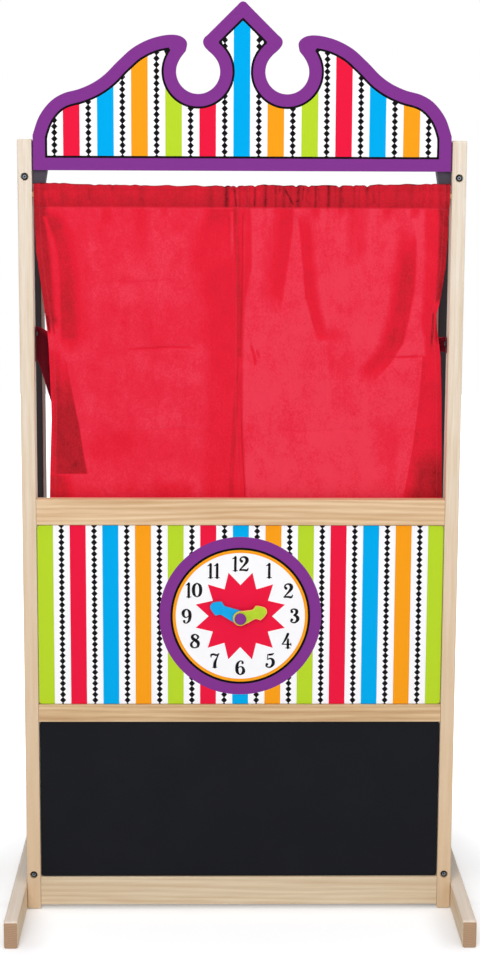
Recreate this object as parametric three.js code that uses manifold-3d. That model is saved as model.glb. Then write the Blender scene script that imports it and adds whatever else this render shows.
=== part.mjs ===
import * as THREE from 'three';
import { mergeVertices } from 'three/addons/utils/BufferGeometryUtils.js';
import Module from 'manifold-3d';

// A puppet theater stand: two side frames on feet, three rails, a clock panel, a chalkboard,
// a scrolled pediment and two curtain panels on a rod. Millimetres; X to the right, Y to the back,
// Z up, floor at Z = 0, origin in the middle of the footprint.

// Clearances and cuts
const seatGap = 0.3; // between pieces that seat on each other
const cutOverrun = 1; // how far a cutting tool runs past the face that it opens
const roundSides = 16; // sides of a round piece
const fastenerSides = 12;

// Side frames
const frameWidth = 775; // across the outer faces of the posts
const postWidth = 25;
const postDepth = 36;
const postHeight = 1393;
const postChamfer = 2.5;
const uprightDepth = 70;
const sideRailLength = 121; // from the post back to the rear upright
const sideRailHeight = 70;
const upperBoltDrop = 64; // below the top of the post
const lowerBoltZ = 66;

// Feet
const footLength = 450;
const footWidth = 25;
const footHeight = 48;
const footNose = 172; // foot in front of the post
const footNoseRadius = 9;
const footEdge = 3.5;

// Rails between the posts
const railThickness = 20;
const railSetback = 1; // behind the post front
const railEdge = 2;
const topRailBase = 717;
const topRailHeight = 46.5;
const middleRailBase = 355;
const middleRailHeight = 32;
const bottomRailBase = 8;
const bottomRailHeight = 53;

// Panels between the rails
const panelThickness = 9;
const panelSetback = 5; // behind the post front
const panelGap = 1; // round every panel edge
const panelCorner = 6;
const cleatSize = 12;
const cleatEndGap = 40;

// Pediment
const pedimentHeight = 286;
const pedimentDrop = 53; // its foot below the top of the post
const pedimentThickness = 9;
const pedimentSetback = 2;
const pedimentSideGap = 2;
const blockReach = 25; // block inward from the post
const blockLean = 4; // its inner side slants back by this below the pediment
const blockDrop = 24; // below the pediment
const blockRise = 50; // behind the pediment

// Curtain rod and curtains
const rodRadius = 6;
const rodDrop = 95; // below the top of the post
const rodSetback = 12; // rod axis behind the post front
const rodSeat = 9; // rod end in the post
const clothThickness = 1.5;
const ruffleRise = 17.2; // above the rod
const pocketDrop = 21; // seam of the rod pocket below the rod
const hemOverlap = 30; // hem below the top of the top rail
const layerPinch = 1.3; // half the distance of the two layers where they are sewn
const curtainParting = 0.8; // each panel edge from the middle
const curtainSideGap = 2.5; // panel edge from the post at the top
const railClear = 4; // cloth behind the top rail
const leftFoldDepth = 5;
const rightFoldDepth = 8;
const ruffleDepth = 1.2;

// Tie-backs
const tieThickness = 1.6;
const tieTab = 15; // depth of the tab on the post
const tieBackSetback = 1.5; // flap in front of the back of the post
const tieSag = 3.8; // pull of the top edge's curve
const leftTieDrop = 229; // below the rod
const leftTieAtPost = 56;
const leftTieAtCloth = 165;
const leftTieReach = 42;
const rightTieDrop = 245;
const rightTieAtPost = 30;
const rightTieAtCloth = 24;
const rightTieReach = 30;

// Clock
const clockPivotZ = 548;
const pivotRadius = 4;
const pivotFlangeRadius = 7;
const pivotFlange = 2.5;
const handThickness = 3;
const washerThickness = 1.2;
const washerRadius = 8;
const hubRadius = 10.2;
const hubThickness = 5;
const hubEdge = 1.5;
const hourLength = 49.5;
const minuteLength = 58.5;
const handEyeRadius = 13.3;
const handHeadWidth = 27;
const handHeadLength = 25;
const hourHandAngle = THREE.MathUtils.degToRad(18);
const minuteHandAngle = THREE.MathUtils.degToRad(156.2);
const lockNutHeight = 5;
const lockNutRadius = 7.5;

// Fasteners
const boltRadius = 3;
const boltHeadRadius = 5.5;
const boltHeadHeight = 4;
const boltHeadEdge = 0.9;
const boltSocketRadius = 2.7;
const boltSocketDepth = 2.4;
const boreRadius = 7; // recess for a bolt head
const boreDepth = 5.5;
const nutRadius = 5;
const nutLength = 13;
const nutInset = 34; // nut axis from the end of its rail
const boltTail = 2; // bolt past its nut
const coachGrip = 16; // coach screw in the upright
const screwRadius = 2;
const screwHeadRadius = 4;
const screwHeadHeight = 2.2;
const screwHeadEdge = 0.6;
const screwSocketRadius = 1.6;
const screwSocketDepth = 1.3;
const tieScrewBite = 16;
const tieScrewDrop = 14; // below the top of the tab

// Places that follow from the sizes
const upperBoltZ = postHeight - upperBoltDrop;
const pedimentBase = postHeight - pedimentDrop;
const rodZ = postHeight - rodDrop;
const curtainTop = rodZ + ruffleRise;
const pocketSeam = rodZ - pocketDrop;
const leftTieTop = rodZ - leftTieDrop;
const rightTieTop = rodZ - rightTieDrop;
const halfFrame = frameWidth / 2;
const innerHalf = halfFrame - postWidth;
const postX = halfFrame - postWidth / 2;
const footX = halfFrame + seatGap + footWidth / 2;
const postFrontY = footNose - footLength / 2;
const postBackY = postFrontY + postDepth;
const postY = (postFrontY + postBackY) / 2;
const uprightFrontY = postBackY + sideRailLength;
const uprightY = uprightFrontY + uprightDepth / 2;
const uprightHeight = upperBoltZ + sideRailHeight / 2;
const sideRailY = (postBackY + uprightFrontY) / 2;
const railFrontY = postFrontY + railSetback;
const railBackY = railFrontY + railThickness;
const railY = (railFrontY + railBackY) / 2;
const railLength = 2 * (innerHalf - seatGap);
const topRailZ = topRailBase + topRailHeight / 2;
const middleRailZ = middleRailBase + middleRailHeight / 2;
const bottomRailZ = bottomRailBase + bottomRailHeight / 2;
const topRailTop = topRailBase + topRailHeight;
const curtainHem = topRailTop - hemOverlap;
const panelFrontY = postFrontY + panelSetback;
const panelBackY = panelFrontY + panelThickness;
const panelWidth = 2 * (innerHalf - panelGap);
const pedimentFrontY = postFrontY + pedimentSetback;
const pedimentBackY = pedimentFrontY + pedimentThickness;
const rodY = postFrontY + rodSetback;
const boltGrip = nutInset + nutRadius + boltTail; // bolt in the rail that it holds

const colors = {
  pine: 0xdcc09a,
  paleWood: 0xe4d2bc,
  charcoal: 0x49424e,
  chalkboard: 0x212226,
  clockPanel: 0xf4f2f4,
  purple: 0x8a3399,
  red: 0xed1b40,
  tieRed: 0xa51c21,
  blue: 0x00abec,
  green: 0xb9d82d,
  steel: 0xb8babd,
  zinc: 0x9a9ca0,
  nylon: 0xe8e6e0,
};

function finish(color, roughness, metalness = 0) {
  return new THREE.MeshStandardMaterial({ color, roughness, metalness });
}

const pine = finish(colors.pine, 0.6);
const paleWood = finish(colors.paleWood, 0.6);
const charcoalPaint = finish(colors.charcoal, 0.65);
const slatePaint = finish(colors.chalkboard, 0.85);
const printedBoard = finish(colors.clockPanel, 0.45);
const purplePlastic = finish(colors.purple, 0.4);
const redCloth = finish(colors.red, 0.9);
const darkRedCloth = finish(colors.tieRed, 0.9);
const bluePlastic = finish(colors.blue, 0.4);
const greenPlastic = finish(colors.green, 0.4);
const steel = finish(colors.steel, 0.3, 1);
const zinc = finish(colors.zinc, 0.4, 1);
const nylon = finish(colors.nylon, 0.5);

const stand = new THREE.Group();

function place(name, geometry, material, x, y, z, parent = stand) {
  const mesh = new THREE.Mesh(geometry, material);
  mesh.name = name;
  mesh.position.set(x, y, z);
  parent.add(mesh);
  return mesh;
}

// Solids that can be cut and joined

const wasm = await Module();
wasm.setup();

function toSolid(geometry) {
  const bare = geometry.clone();
  bare.deleteAttribute('normal');
  bare.deleteAttribute('uv');
  const merged = mergeVertices(bare);
  return new wasm.Manifold(new wasm.Mesh({
    numProp: 3,
    vertProperties: new Float32Array(merged.attributes.position.array),
    triVerts: new Uint32Array(merged.index.array),
  }));
}

function toGeometry(solid) {
  const mesh = solid.getMesh();
  const geometry = new THREE.BufferGeometry();
  geometry.setAttribute('position', new THREE.BufferAttribute(mesh.vertProperties, 3));
  geometry.setIndex(new THREE.BufferAttribute(mesh.triVerts, 1));
  geometry.computeVertexNormals();
  return geometry;
}

function cut(geometry, tools) {
  let solid = toSolid(geometry);
  for (const tool of tools) {
    solid = solid.subtract(toSolid(tool));
  }
  return toGeometry(solid);
}

function intersect(geometry, tool) {
  return toGeometry(toSolid(geometry).intersect(toSolid(tool)));
}

// Shapes

function block(width, depth, height) {
  return new THREE.BoxGeometry(width, depth, height);
}

// A cylinder along X or Y from one coordinate to another, through the other two.
function cylinderX(radius, fromX, toX, y, z) {
  const length = Math.abs(toX - fromX);
  const geometry = new THREE.CylinderGeometry(radius, radius, length, roundSides);
  return geometry.rotateZ(Math.PI / 2).translate((fromX + toX) / 2, y, z);
}

function cylinderY(radius, fromY, toY, x, z) {
  const length = Math.abs(toY - fromY);
  const geometry = new THREE.CylinderGeometry(radius, radius, length, roundSides);
  return geometry.translate(x, (fromY + toY) / 2, z);
}

function roundedOutline(width, height, radius) {
  const x = width / 2;
  const y = height / 2;
  const shape = new THREE.Shape();
  shape.moveTo(radius - x, -y);
  shape.lineTo(x - radius, -y);
  shape.quadraticCurveTo(x, -y, x, radius - y);
  shape.lineTo(x, y - radius);
  shape.quadraticCurveTo(x, y, x - radius, y);
  shape.lineTo(radius - x, y);
  shape.quadraticCurveTo(-x, y, -x, y - radius);
  shape.lineTo(-x, radius - y);
  shape.quadraticCurveTo(-x, -y, radius - x, -y);
  return shape;
}

// An outline drawn in X and Z, as thick as given and centred on Y.
function uprightBoard(shape, thickness, curveSegments) {
  const settings = { depth: thickness, bevelEnabled: false, curveSegments };
  const geometry = new THREE.ExtrudeGeometry(shape, settings);
  return geometry.translate(0, 0, -thickness / 2).rotateX(Math.PI / 2);
}

// An outline drawn in Y and Z, carried along X and centred on it.
function alongX(shape, settings) {
  const geometry = new THREE.ExtrudeGeometry(shape, settings);
  const turned = new THREE.Matrix4().makeBasis(
    new THREE.Vector3(0, 1, 0),
    new THREE.Vector3(0, 0, 1),
    new THREE.Vector3(1, 0, 0),
  );
  geometry.computeBoundingBox();
  const middle = (geometry.boundingBox.min.z + geometry.boundingBox.max.z) / 2;
  return geometry.translate(0, 0, -middle).applyMatrix4(turned);
}

// A bolt or screw along +Y: the head's underside is at Y = 0 and its recessed face looks to -Y.
function fastener(radius, length, head) {
  const profile = [
    new THREE.Vector2(0, head.socketDepth - head.height),
    new THREE.Vector2(head.socketRadius, head.socketDepth - head.height),
    new THREE.Vector2(head.socketRadius, -head.height),
    new THREE.Vector2(head.radius - head.edge, -head.height),
    new THREE.Vector2(head.radius, head.edge - head.height),
    new THREE.Vector2(head.radius, 0),
    new THREE.Vector2(radius, 0),
    new THREE.Vector2(radius, length),
    new THREE.Vector2(0, length),
  ];
  return new THREE.LatheGeometry(profile, fastenerSides);
}

function bolt(length) {
  return fastener(boltRadius, length, {
    radius: boltHeadRadius,
    height: boltHeadHeight,
    edge: boltHeadEdge,
    socketRadius: boltSocketRadius,
    socketDepth: boltSocketDepth,
  });
}

function screw(length) {
  return fastener(screwRadius, length, {
    radius: screwHeadRadius,
    height: screwHeadHeight,
    edge: screwHeadEdge,
    socketRadius: screwSocketRadius,
    socketDepth: screwSocketDepth,
  });
}

// A barrel nut along X, with the bolt's hole through it along Y.
function barrelNut() {
  const body = cylinderX(nutRadius, -nutLength / 2, nutLength / 2, 0, 0);
  return cut(body, [cylinderY(boltRadius + seatGap, -nutRadius - cutOverrun, nutRadius + cutOverrun, 0, 0)]);
}

const left = -1;
const right = 1;
const sides = [{ side: left, label: 'left' }, { side: right, label: 'right' }];
const holeRadius = boltRadius + seatGap;
const pilotRadius = screwRadius + seatGap;
const nutHoleRadius = nutRadius + seatGap;

// Side frames: post, rear upright, two side rails and a foot

function post(side) {
  const outline = roundedOutline(postWidth, postDepth, postChamfer);
  const body = new THREE.ExtrudeGeometry(outline, {
    depth: postHeight - 2 * postChamfer,
    bevelThickness: postChamfer,
    bevelSize: postChamfer,
    bevelOffset: -postChamfer,
    bevelSegments: 1,
    curveSegments: 2,
  });
  body.translate(0, 0, postChamfer);
  const front = -postDepth / 2;
  const outer = side * postWidth / 2;
  const past = side * cutOverrun;
  const tools = [];
  for (const z of [lowerBoltZ, upperBoltZ]) {
    tools.push(cylinderY(boreRadius, front - cutOverrun, front + boreDepth, 0, z));
    tools.push(cylinderY(holeRadius, front, -front + cutOverrun, 0, z));
  }
  for (const z of [topRailZ, middleRailZ]) {
    tools.push(cylinderX(boreRadius, outer + past, outer - side * boreDepth, railY - postY, z));
  }
  for (const z of [topRailZ, middleRailZ, bottomRailZ]) {
    tools.push(cylinderX(holeRadius, outer + past, -outer - past, railY - postY, z));
  }
  const rodHole = rodRadius + seatGap;
  tools.push(cylinderX(rodHole, -outer - past, side * (rodSeat + seatGap) - outer, rodY - postY, rodZ));
  const tieZ = (side === left ? leftTieTop : rightTieTop) - tieScrewDrop;
  const tieTip = side * (tieScrewBite + seatGap) - outer;
  tools.push(cylinderX(pilotRadius, -outer - past, tieTip, tieTabY - postY, tieZ));
  return cut(body, tools);
}

function upright(side) {
  const outline = roundedOutline(postWidth, uprightDepth, postChamfer);
  const body = new THREE.ExtrudeGeometry(outline, {
    depth: uprightHeight,
    bevelEnabled: false,
    curveSegments: 2,
  });
  const outer = side * postWidth / 2;
  const tip = outer - side * (coachGrip + 2 * seatGap);
  return cut(body, [cylinderX(holeRadius, outer + side * cutOverrun, tip, 0, footHeight / 2)]);
}

// A side rail is centred on its own middle. Its front end takes the bolt, whose nut hole opens
// on the inner side; its back end is glued to the upright.
function sideRail(side) {
  const length = sideRailLength - 2 * seatGap;
  const front = -length / 2;
  const inner = -side * (postWidth / 2 + cutOverrun);
  return cut(block(postWidth, length, sideRailHeight), [
    cylinderY(holeRadius, front - cutOverrun, front + boltGrip + seatGap, 0, 0),
    cylinderX(nutHoleRadius, inner, side * (nutLength / 2 + seatGap), front + nutInset, 0),
  ]);
}

function foot(side) {
  const shape = new THREE.Shape();
  const halfLength = footLength / 2;
  const r = footNoseRadius;
  shape.moveTo(-halfLength, 0);
  shape.lineTo(halfLength, 0);
  shape.lineTo(halfLength, footHeight - r);
  shape.quadraticCurveTo(halfLength, footHeight, halfLength - r, footHeight);
  shape.lineTo(r - halfLength, footHeight);
  shape.quadraticCurveTo(-halfLength, footHeight, -halfLength, footHeight - r);
  shape.closePath();
  const body = alongX(shape, {
    depth: footWidth - 2 * footEdge,
    bevelThickness: footEdge,
    bevelSize: footEdge,
    bevelOffset: -footEdge,
    bevelSegments: 2,
    curveSegments: 4,
  });
  const outer = side * (footWidth / 2);
  const past = side * cutOverrun;
  const tools = [];
  for (const [y, z] of [[railY, bottomRailZ], [uprightY, footHeight / 2]]) {
    tools.push(cylinderX(boreRadius, outer + past, outer - side * boreDepth, y, z));
    tools.push(cylinderX(holeRadius, outer, -outer - past, y, z));
  }
  return cut(body, tools);
}

// Rails between the posts, with a bolt hole in each end and a nut hole open to the back

function rail(height) {
  const outline = roundedOutline(railThickness, height, railEdge);
  const body = alongX(outline, { depth: railLength, bevelEnabled: false, curveSegments: 3 });
  const tools = [];
  for (const end of [-1, 1]) {
    const face = end * railLength / 2;
    tools.push(cylinderX(holeRadius, face + end * cutOverrun, face - end * (boltGrip + seatGap), 0, 0));
    const nutX = face - end * nutInset;
    const nutFront = -nutLength / 2 - seatGap;
    tools.push(cylinderY(nutHoleRadius, nutFront, railThickness / 2 + cutOverrun, nutX, 0));
  }
  return cut(body, tools);
}

// Panels, each with cleats along its top and bottom edge behind it

const cleatLength = 2 * (innerHalf - cleatEndGap);
const cleatY = panelBackY + seatGap + cleatSize / 2;

function panel(height) {
  return uprightBoard(roundedOutline(panelWidth, height, panelCorner), panelThickness, 4);
}

// Pediment: half of its scrolled outline, in shares of its half width and its height

const pedimentHalfWidth = innerHalf - pedimentSideGap;
const shoulderShares = [
  [1, 0.21], [0.968, 0.318], [0.915, 0.4], [0.852, 0.446], [0.771, 0.472], [0.698, 0.51], [0.639, 0.563],
  [0.581, 0.647], [0.523, 0.72], [0.449, 0.773], [0.363, 0.801], [0.3, 0.797], [0.266, 0.762], [0.27, 0.71],
];
const biteCenterShares = [0.212, 0.588];
const biteRadiusShare = 0.1318; // of the height
const biteStart = THREE.MathUtils.degToRad(55);
const biteEnd = THREE.MathUtils.degToRad(114);
const spadeShares = [[0.168, 0.716], [0.183, 0.738], [0.189, 0.762], [0.183, 0.785], [0.168, 0.802]];
const peakShares = [[0.024, 0.98], [0.012, 0.995]];

function pedimentOutline() {
  const at = ([x, z]) => new THREE.Vector2(x * pedimentHalfWidth, z * pedimentHeight);
  const bite = at(biteCenterShares);
  const shoulder = shoulderShares.map(at);
  const half = new THREE.Path();
  half.moveTo(pedimentHalfWidth, 0);
  half.lineTo(shoulder[0].x, shoulder[0].y);
  half.splineThru(shoulder.slice(1));
  half.absarc(bite.x, bite.y, biteRadiusShare * pedimentHeight, biteStart, biteEnd - 2 * Math.PI, true);
  for (const point of [...spadeShares, ...peakShares].map(at)) {
    half.lineTo(point.x, point.y);
  }
  const points = half.getPoints(7);
  const mirrored = points.map((point) => new THREE.Vector2(-point.x, point.y)).reverse();
  return new THREE.Shape([...points, new THREE.Vector2(0, pedimentHeight), ...mirrored]);
}

// Blocks behind the pediment corners

const blockTop = pedimentBase + blockRise;
const blockBase = pedimentBase - blockDrop;
const blockHeight = blockTop - blockBase;
const blockFrontY = pedimentBackY + seatGap;
const blockDepth = postBackY - blockFrontY;
const blockY = (blockFrontY + postBackY) / 2;

function cornerBlock(side) {
  const shape = new THREE.Shape();
  shape.moveTo(0, 0);
  shape.lineTo(blockReach - blockLean, 0);
  shape.lineTo(blockReach, blockDrop);
  shape.lineTo(blockReach, blockHeight);
  shape.lineTo(0, blockHeight);
  shape.closePath();
  const body = uprightBoard(shape, blockDepth, 1);
  if (side === right) {
    body.rotateZ(Math.PI);
  }
  return body;
}

// Curtains: each panel is one cloth that hangs in folds, runs up in front of the rod, over it
// as a ruffle and down behind it to the seam of the rod pocket.

const hangRows = 9;
const pocketStep = THREE.MathUtils.degToRad(40); // from row to row over the rod
const pocketSteps = 2;
const clothColumns = 33;
const leftEdgeShares = [[0, 0], [0.23, 0.08], [0.38, 0.55], [0.68, 1], [0.93, 0.75], [1, 0.7]]; // drop, pull
const rightEdgeShares = [[0, 0], [0.23, 0.38], [0.38, 0.78], [0.46, 1], [0.76, 0.47], [1, 0.28]];
const leftPull = 26; // how far a tie-back draws the panel's edge from the post
const rightPull = 21;
const leftFolds = 4.6;
const rightFolds = 6.3;
const ruffleWaves = 9.5;
const foldCrowding = 1.1; // folds lie a little closer towards the post
const foldDrift = 0.16; // turns that a fold drifts from the top to the hem
const seamFoldShare = 0.2; // of a fold's depth, at the pocket seam
const edgeCalmShare = 0.4; // of a fold's depth, at the panel's outer edge
const edgeCalmStart = 0.8;
// The cloth lies on the rod at the middle of each row, so its corners stand a little further off.
const pocketRadius = (rodRadius + seatGap + clothThickness / 2) / Math.cos(pocketStep / 2);

function pullAt(drop, shares, pull) {
  for (let i = 1; i < shares.length; i += 1) {
    const [start, from] = shares[i - 1];
    const [end, to] = shares[i];
    if (drop <= end) {
      return pull * THREE.MathUtils.lerp(from, to, THREE.MathUtils.smoothstep(drop, start, end));
    }
  }
  return pull * shares[shares.length - 1][1];
}

// The cloth in section: [y, z] from the hem up the front, over the ruffle and down the back.
function clothSection(foldDepth) {
  const behind = railBackY + railClear + foldDepth - rodY;
  const section = [];
  for (let i = 0; i < hangRows; i += 1) {
    const share = i / hangRows;
    const z = THREE.MathUtils.lerp(curtainHem, pocketSeam, share);
    const slope = 1 - THREE.MathUtils.smoothstep(z, topRailTop, pocketSeam);
    section.push([behind * slope - layerPinch * (1 - slope), z]);
  }
  const front = [[layerPinch, pocketSeam]];
  for (let i = 0; i <= pocketSteps; i += 1) {
    const angle = i * pocketStep;
    front.push([pocketRadius * Math.cos(angle), rodZ + pocketRadius * Math.sin(angle)]);
  }
  for (const [y, z] of front) {
    section.push([-y, z]);
  }
  section.push([0, curtainTop - clothThickness / 2]);
  for (const [y, z] of front.reverse()) {
    section.push([y, z]);
  }
  return section;
}

function curtain(side) {
  const isLeft = side === left;
  const shares = isLeft ? leftEdgeShares : rightEdgeShares;
  const pull = isLeft ? leftPull : rightPull;
  const folds = isLeft ? leftFolds : rightFolds;
  const depth = isLeft ? leftFoldDepth : rightFoldDepth;
  const section = clothSection(depth);
  const rows = section.length;
  const columns = clothColumns + 1;
  const positions = [];
  for (const face of [1, -1]) {
    for (let row = 0; row < rows; row += 1) {
      const [y, z] = section[row];
      const before = section[Math.max(row - 1, 0)];
      const after = section[Math.min(row + 1, rows - 1)];
      const slope = new THREE.Vector2(after[0] - before[0], after[1] - before[1]).normalize();
      const drop = THREE.MathUtils.clamp((curtainTop - z) / (curtainTop - curtainHem), 0, 1);
      const loose = 1 - THREE.MathUtils.smoothstep(z, topRailTop, pocketSeam);
      const above = THREE.MathUtils.smoothstep(z, rodZ + rodRadius, curtainTop);
      for (let column = 0; column < columns; column += 1) {
        const share = column / clothColumns;
        const edge = innerHalf - curtainSideGap - pullAt(drop, shares, pull);
        const x = THREE.MathUtils.lerp(curtainParting, edge, share);
        const turn = 2 * Math.PI * (folds * share ** foldCrowding + foldDrift * drop);
        const nearPost = THREE.MathUtils.smoothstep(share, edgeCalmStart, 1);
        const calm = THREE.MathUtils.lerp(1, edgeCalmShare, nearPost);
        const fade = z < pocketSeam ? THREE.MathUtils.lerp(seamFoldShare, 1, loose) : 0;
        const fold = depth * fade * calm * Math.sin(turn);
        const ruffle = ruffleDepth * above * Math.sin(2 * Math.PI * ruffleWaves * share);
        const out = face * clothThickness / 2;
        positions.push(side * x, rodY + y + fold + ruffle - slope.y * out, z + slope.x * out);
      }
    }
  }
  const index = [];
  const quad = (a, b, c, d) => {
    const order = isLeft ? [a, b, c, a, c, d] : [a, c, b, a, d, c];
    index.push(...order);
  };
  const at = (face, row, column) => (face * rows + row) * columns + column;
  for (let row = 0; row < rows - 1; row += 1) {
    for (let column = 0; column < clothColumns; column += 1) {
      quad(at(0, row, column), at(0, row + 1, column), at(0, row + 1, column + 1), at(0, row, column + 1));
      quad(at(1, row, column), at(1, row, column + 1), at(1, row + 1, column + 1), at(1, row + 1, column));
    }
    const end = clothColumns;
    quad(at(1, row, 0), at(1, row + 1, 0), at(0, row + 1, 0), at(0, row, 0));
    quad(at(0, row, end), at(0, row + 1, end), at(1, row + 1, end), at(1, row, end));
  }
  for (let column = 0; column < clothColumns; column += 1) {
    const last = rows - 1;
    quad(at(0, 0, column), at(0, 0, column + 1), at(1, 0, column + 1), at(1, 0, column));
    quad(at(1, last, column), at(1, last, column + 1), at(0, last, column + 1), at(0, last, column));
  }
  const geometry = new THREE.BufferGeometry();
  geometry.setAttribute('position', new THREE.Float32BufferAttribute(positions, 3));
  geometry.setIndex(index);
  geometry.computeVertexNormals();
  return geometry;
}

// Tie-backs: a tab screwed flat on the post and a flap that runs behind the curtain's edge

const tieFlapY = postBackY - tieBackSetback;
const tieTabY = tieFlapY - tieTab / 2;

function tieBack(side, top, atPost, atCloth, reach) {
  const plan = new THREE.Shape();
  plan.moveTo(0, -tieTab);
  plan.lineTo(tieThickness, -tieTab);
  plan.lineTo(tieThickness, -tieThickness);
  plan.lineTo(reach, -tieThickness);
  plan.lineTo(reach, 0);
  plan.lineTo(0, 0);
  plan.closePath();
  const tall = Math.max(atPost, atCloth);
  const body = new THREE.ExtrudeGeometry(plan, { depth: tall, bevelEnabled: false });
  body.translate(0, 0, -tall);
  const front = new THREE.Shape();
  front.moveTo(-cutOverrun, 0);
  front.quadraticCurveTo(reach / 2, -tieSag, reach + cutOverrun, 0);
  front.lineTo(reach + cutOverrun, -atCloth);
  front.lineTo(tieThickness + seatGap, -atPost);
  front.lineTo(-cutOverrun, -atPost);
  front.closePath();
  const outline = uprightBoard(front, 4 * tieTab, 5);
  const hole = cylinderX(pilotRadius, -cutOverrun, tieThickness + cutOverrun, -tieTab / 2, -tieScrewDrop);
  const flap = cut(intersect(body, outline), [hole]);
  if (side === right) {
    flap.scale(-1, 1, 1);
    flap.index.array.reverse();
  }
  return flap;
}

// Clock

const backWasherY = panelFrontY - seatGap - washerThickness;
const minuteY = backWasherY - seatGap - handThickness;
const midWasherY = minuteY - seatGap - washerThickness;
const hourY = midWasherY - seatGap - handThickness;
const flangeY = hourY - seatGap - pivotFlange;

// A hand has an eye round the pivot, a neck that narrows from it and a mitten-shaped head.
const handHeadShares = [[0, 0.65], [0.14, 0.74], [0.3, 0.97], [0.4, 1], [0.64, 0.79], [0.92, 0.42], [1, 0]];

function hand(length) {
  const neckEnd = length - handHeadLength;
  const upper = handHeadShares.map(([along, across]) => new THREE.Vector2(
    neckEnd + along * handHeadLength,
    across * handHeadWidth / 2,
  ));
  const lower = upper.map((point) => new THREE.Vector2(point.x, -point.y));
  const open = upper[0].angle() + Math.acos(handEyeRadius / upper[0].length());
  const tangent = new THREE.Vector2(Math.cos(open), Math.sin(open)).multiplyScalar(handEyeRadius);
  const shape = new THREE.Shape();
  shape.moveTo(tangent.x, -tangent.y);
  shape.lineTo(lower[0].x, lower[0].y);
  shape.splineThru([...lower.slice(1), ...upper.slice(0, -1).reverse()]);
  shape.lineTo(tangent.x, tangent.y);
  shape.absarc(0, 0, handEyeRadius, open, 2 * Math.PI - open, false);
  const hole = new THREE.Path();
  hole.absarc(0, 0, pivotRadius + seatGap, 0, 2 * Math.PI, true);
  shape.holes.push(hole);
  return uprightBoard(shape, handThickness, 7);
}

function washer() {
  const shape = new THREE.Shape();
  shape.absarc(0, 0, washerRadius, 0, 2 * Math.PI, false);
  const hole = new THREE.Path();
  hole.absarc(0, 0, pivotRadius + seatGap, 0, 2 * Math.PI, true);
  shape.holes.push(hole);
  return uprightBoard(shape, washerThickness, roundSides / 2);
}

// The pivot runs from its flange in front of the hands to the lock nut behind the panel.
function pivot() {
  const length = panelBackY + seatGap + lockNutHeight + boltTail - flangeY;
  const profile = [
    new THREE.Vector2(0, 0),
    new THREE.Vector2(pivotFlangeRadius, 0),
    new THREE.Vector2(pivotFlangeRadius, pivotFlange),
    new THREE.Vector2(pivotRadius, pivotFlange),
    new THREE.Vector2(pivotRadius, length),
    new THREE.Vector2(0, length),
  ];
  return new THREE.LatheGeometry(profile, roundSides);
}

// The cap covers the flange and grips its rim.
function hubCap() {
  const inside = pivotFlangeRadius + seatGap;
  const face = hubThickness - pivotFlange;
  const profile = [
    new THREE.Vector2(0, 0),
    new THREE.Vector2(hubRadius - hubEdge, 0),
    new THREE.Vector2(hubRadius, hubEdge),
    new THREE.Vector2(hubRadius, hubThickness - seatGap),
    new THREE.Vector2(inside, hubThickness - seatGap),
    new THREE.Vector2(inside, face - seatGap),
    new THREE.Vector2(0, face - seatGap),
  ];
  return new THREE.LatheGeometry(profile, 2 * roundSides);
}

function lockNut() {
  const body = new THREE.CylinderGeometry(lockNutRadius, lockNutRadius, lockNutHeight, 6);
  const reach = lockNutHeight;
  return cut(body, [cylinderY(pivotRadius + seatGap, -reach, reach, 0, 0)]);
}

// Assembly

const rodLength = 2 * (innerHalf + rodSeat);

for (const { side, label } of sides) {
  const frame = new THREE.Group();
  frame.position.x = side * postX;
  stand.add(frame);
  place(`${label}_post`, post(side), paleWood, 0, postY, 0, frame);
  place(`${label}_rear_upright`, upright(side), charcoalPaint, 0, uprightY, 0, frame);
  place(`${label}_upper_side_rail`, sideRail(side), charcoalPaint, 0, sideRailY, upperBoltZ, frame);
  place(`${label}_lower_side_rail`, sideRail(side), charcoalPaint, 0, sideRailY, lowerBoltZ, frame);
  place(`${label}_foot`, foot(side), pine, side * (footX - postX), 0, 0, frame);
  const blockX = side * (innerHalf - seatGap);
  place(`${label}_pediment_block`, cornerBlock(side), charcoalPaint, blockX, blockY, blockBase);
}

place('top_rail', rail(topRailHeight), pine, 0, railY, topRailZ);
place('middle_rail', rail(middleRailHeight), pine, 0, railY, middleRailZ);
place('bottom_rail', rail(bottomRailHeight), pine, 0, railY, bottomRailZ);

const clockPanelBase = middleRailBase + middleRailHeight + panelGap;
const clockPanelHeight = topRailBase - panelGap - clockPanelBase;
const clockPanelZ = clockPanelBase + clockPanelHeight / 2;
const boardBase = bottomRailBase + bottomRailHeight + panelGap;
const boardHeight = middleRailBase - panelGap - boardBase;
const boardZ = boardBase + boardHeight / 2;
const panelY = (panelFrontY + panelBackY) / 2;

const pivotHole = pivotRadius + seatGap;
const hole = cylinderY(pivotHole, -panelThickness, panelThickness, 0, clockPivotZ - clockPanelZ);
place('clock_panel', cut(panel(clockPanelHeight), [hole]), printedBoard, 0, panelY, clockPanelZ);
place('chalkboard', panel(boardHeight), slatePaint, 0, panelY, boardZ);

const cleatPlaces = [
  ['clock_panel_upper_cleat', topRailBase - seatGap - cleatSize / 2],
  ['clock_panel_lower_cleat', middleRailBase + middleRailHeight + seatGap + cleatSize / 2],
  ['chalkboard_upper_cleat', middleRailBase - seatGap - cleatSize / 2],
  ['chalkboard_lower_cleat', bottomRailBase + bottomRailHeight + seatGap + cleatSize / 2],
];
for (const [name, z] of cleatPlaces) {
  place(name, block(cleatLength, cleatSize, cleatSize), pine, 0, cleatY, z);
}

const pedimentY = (pedimentFrontY + pedimentBackY) / 2;
const pediment = uprightBoard(pedimentOutline(), pedimentThickness, 7);
place('pediment', pediment, purplePlastic, 0, pedimentY, pedimentBase);

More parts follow.
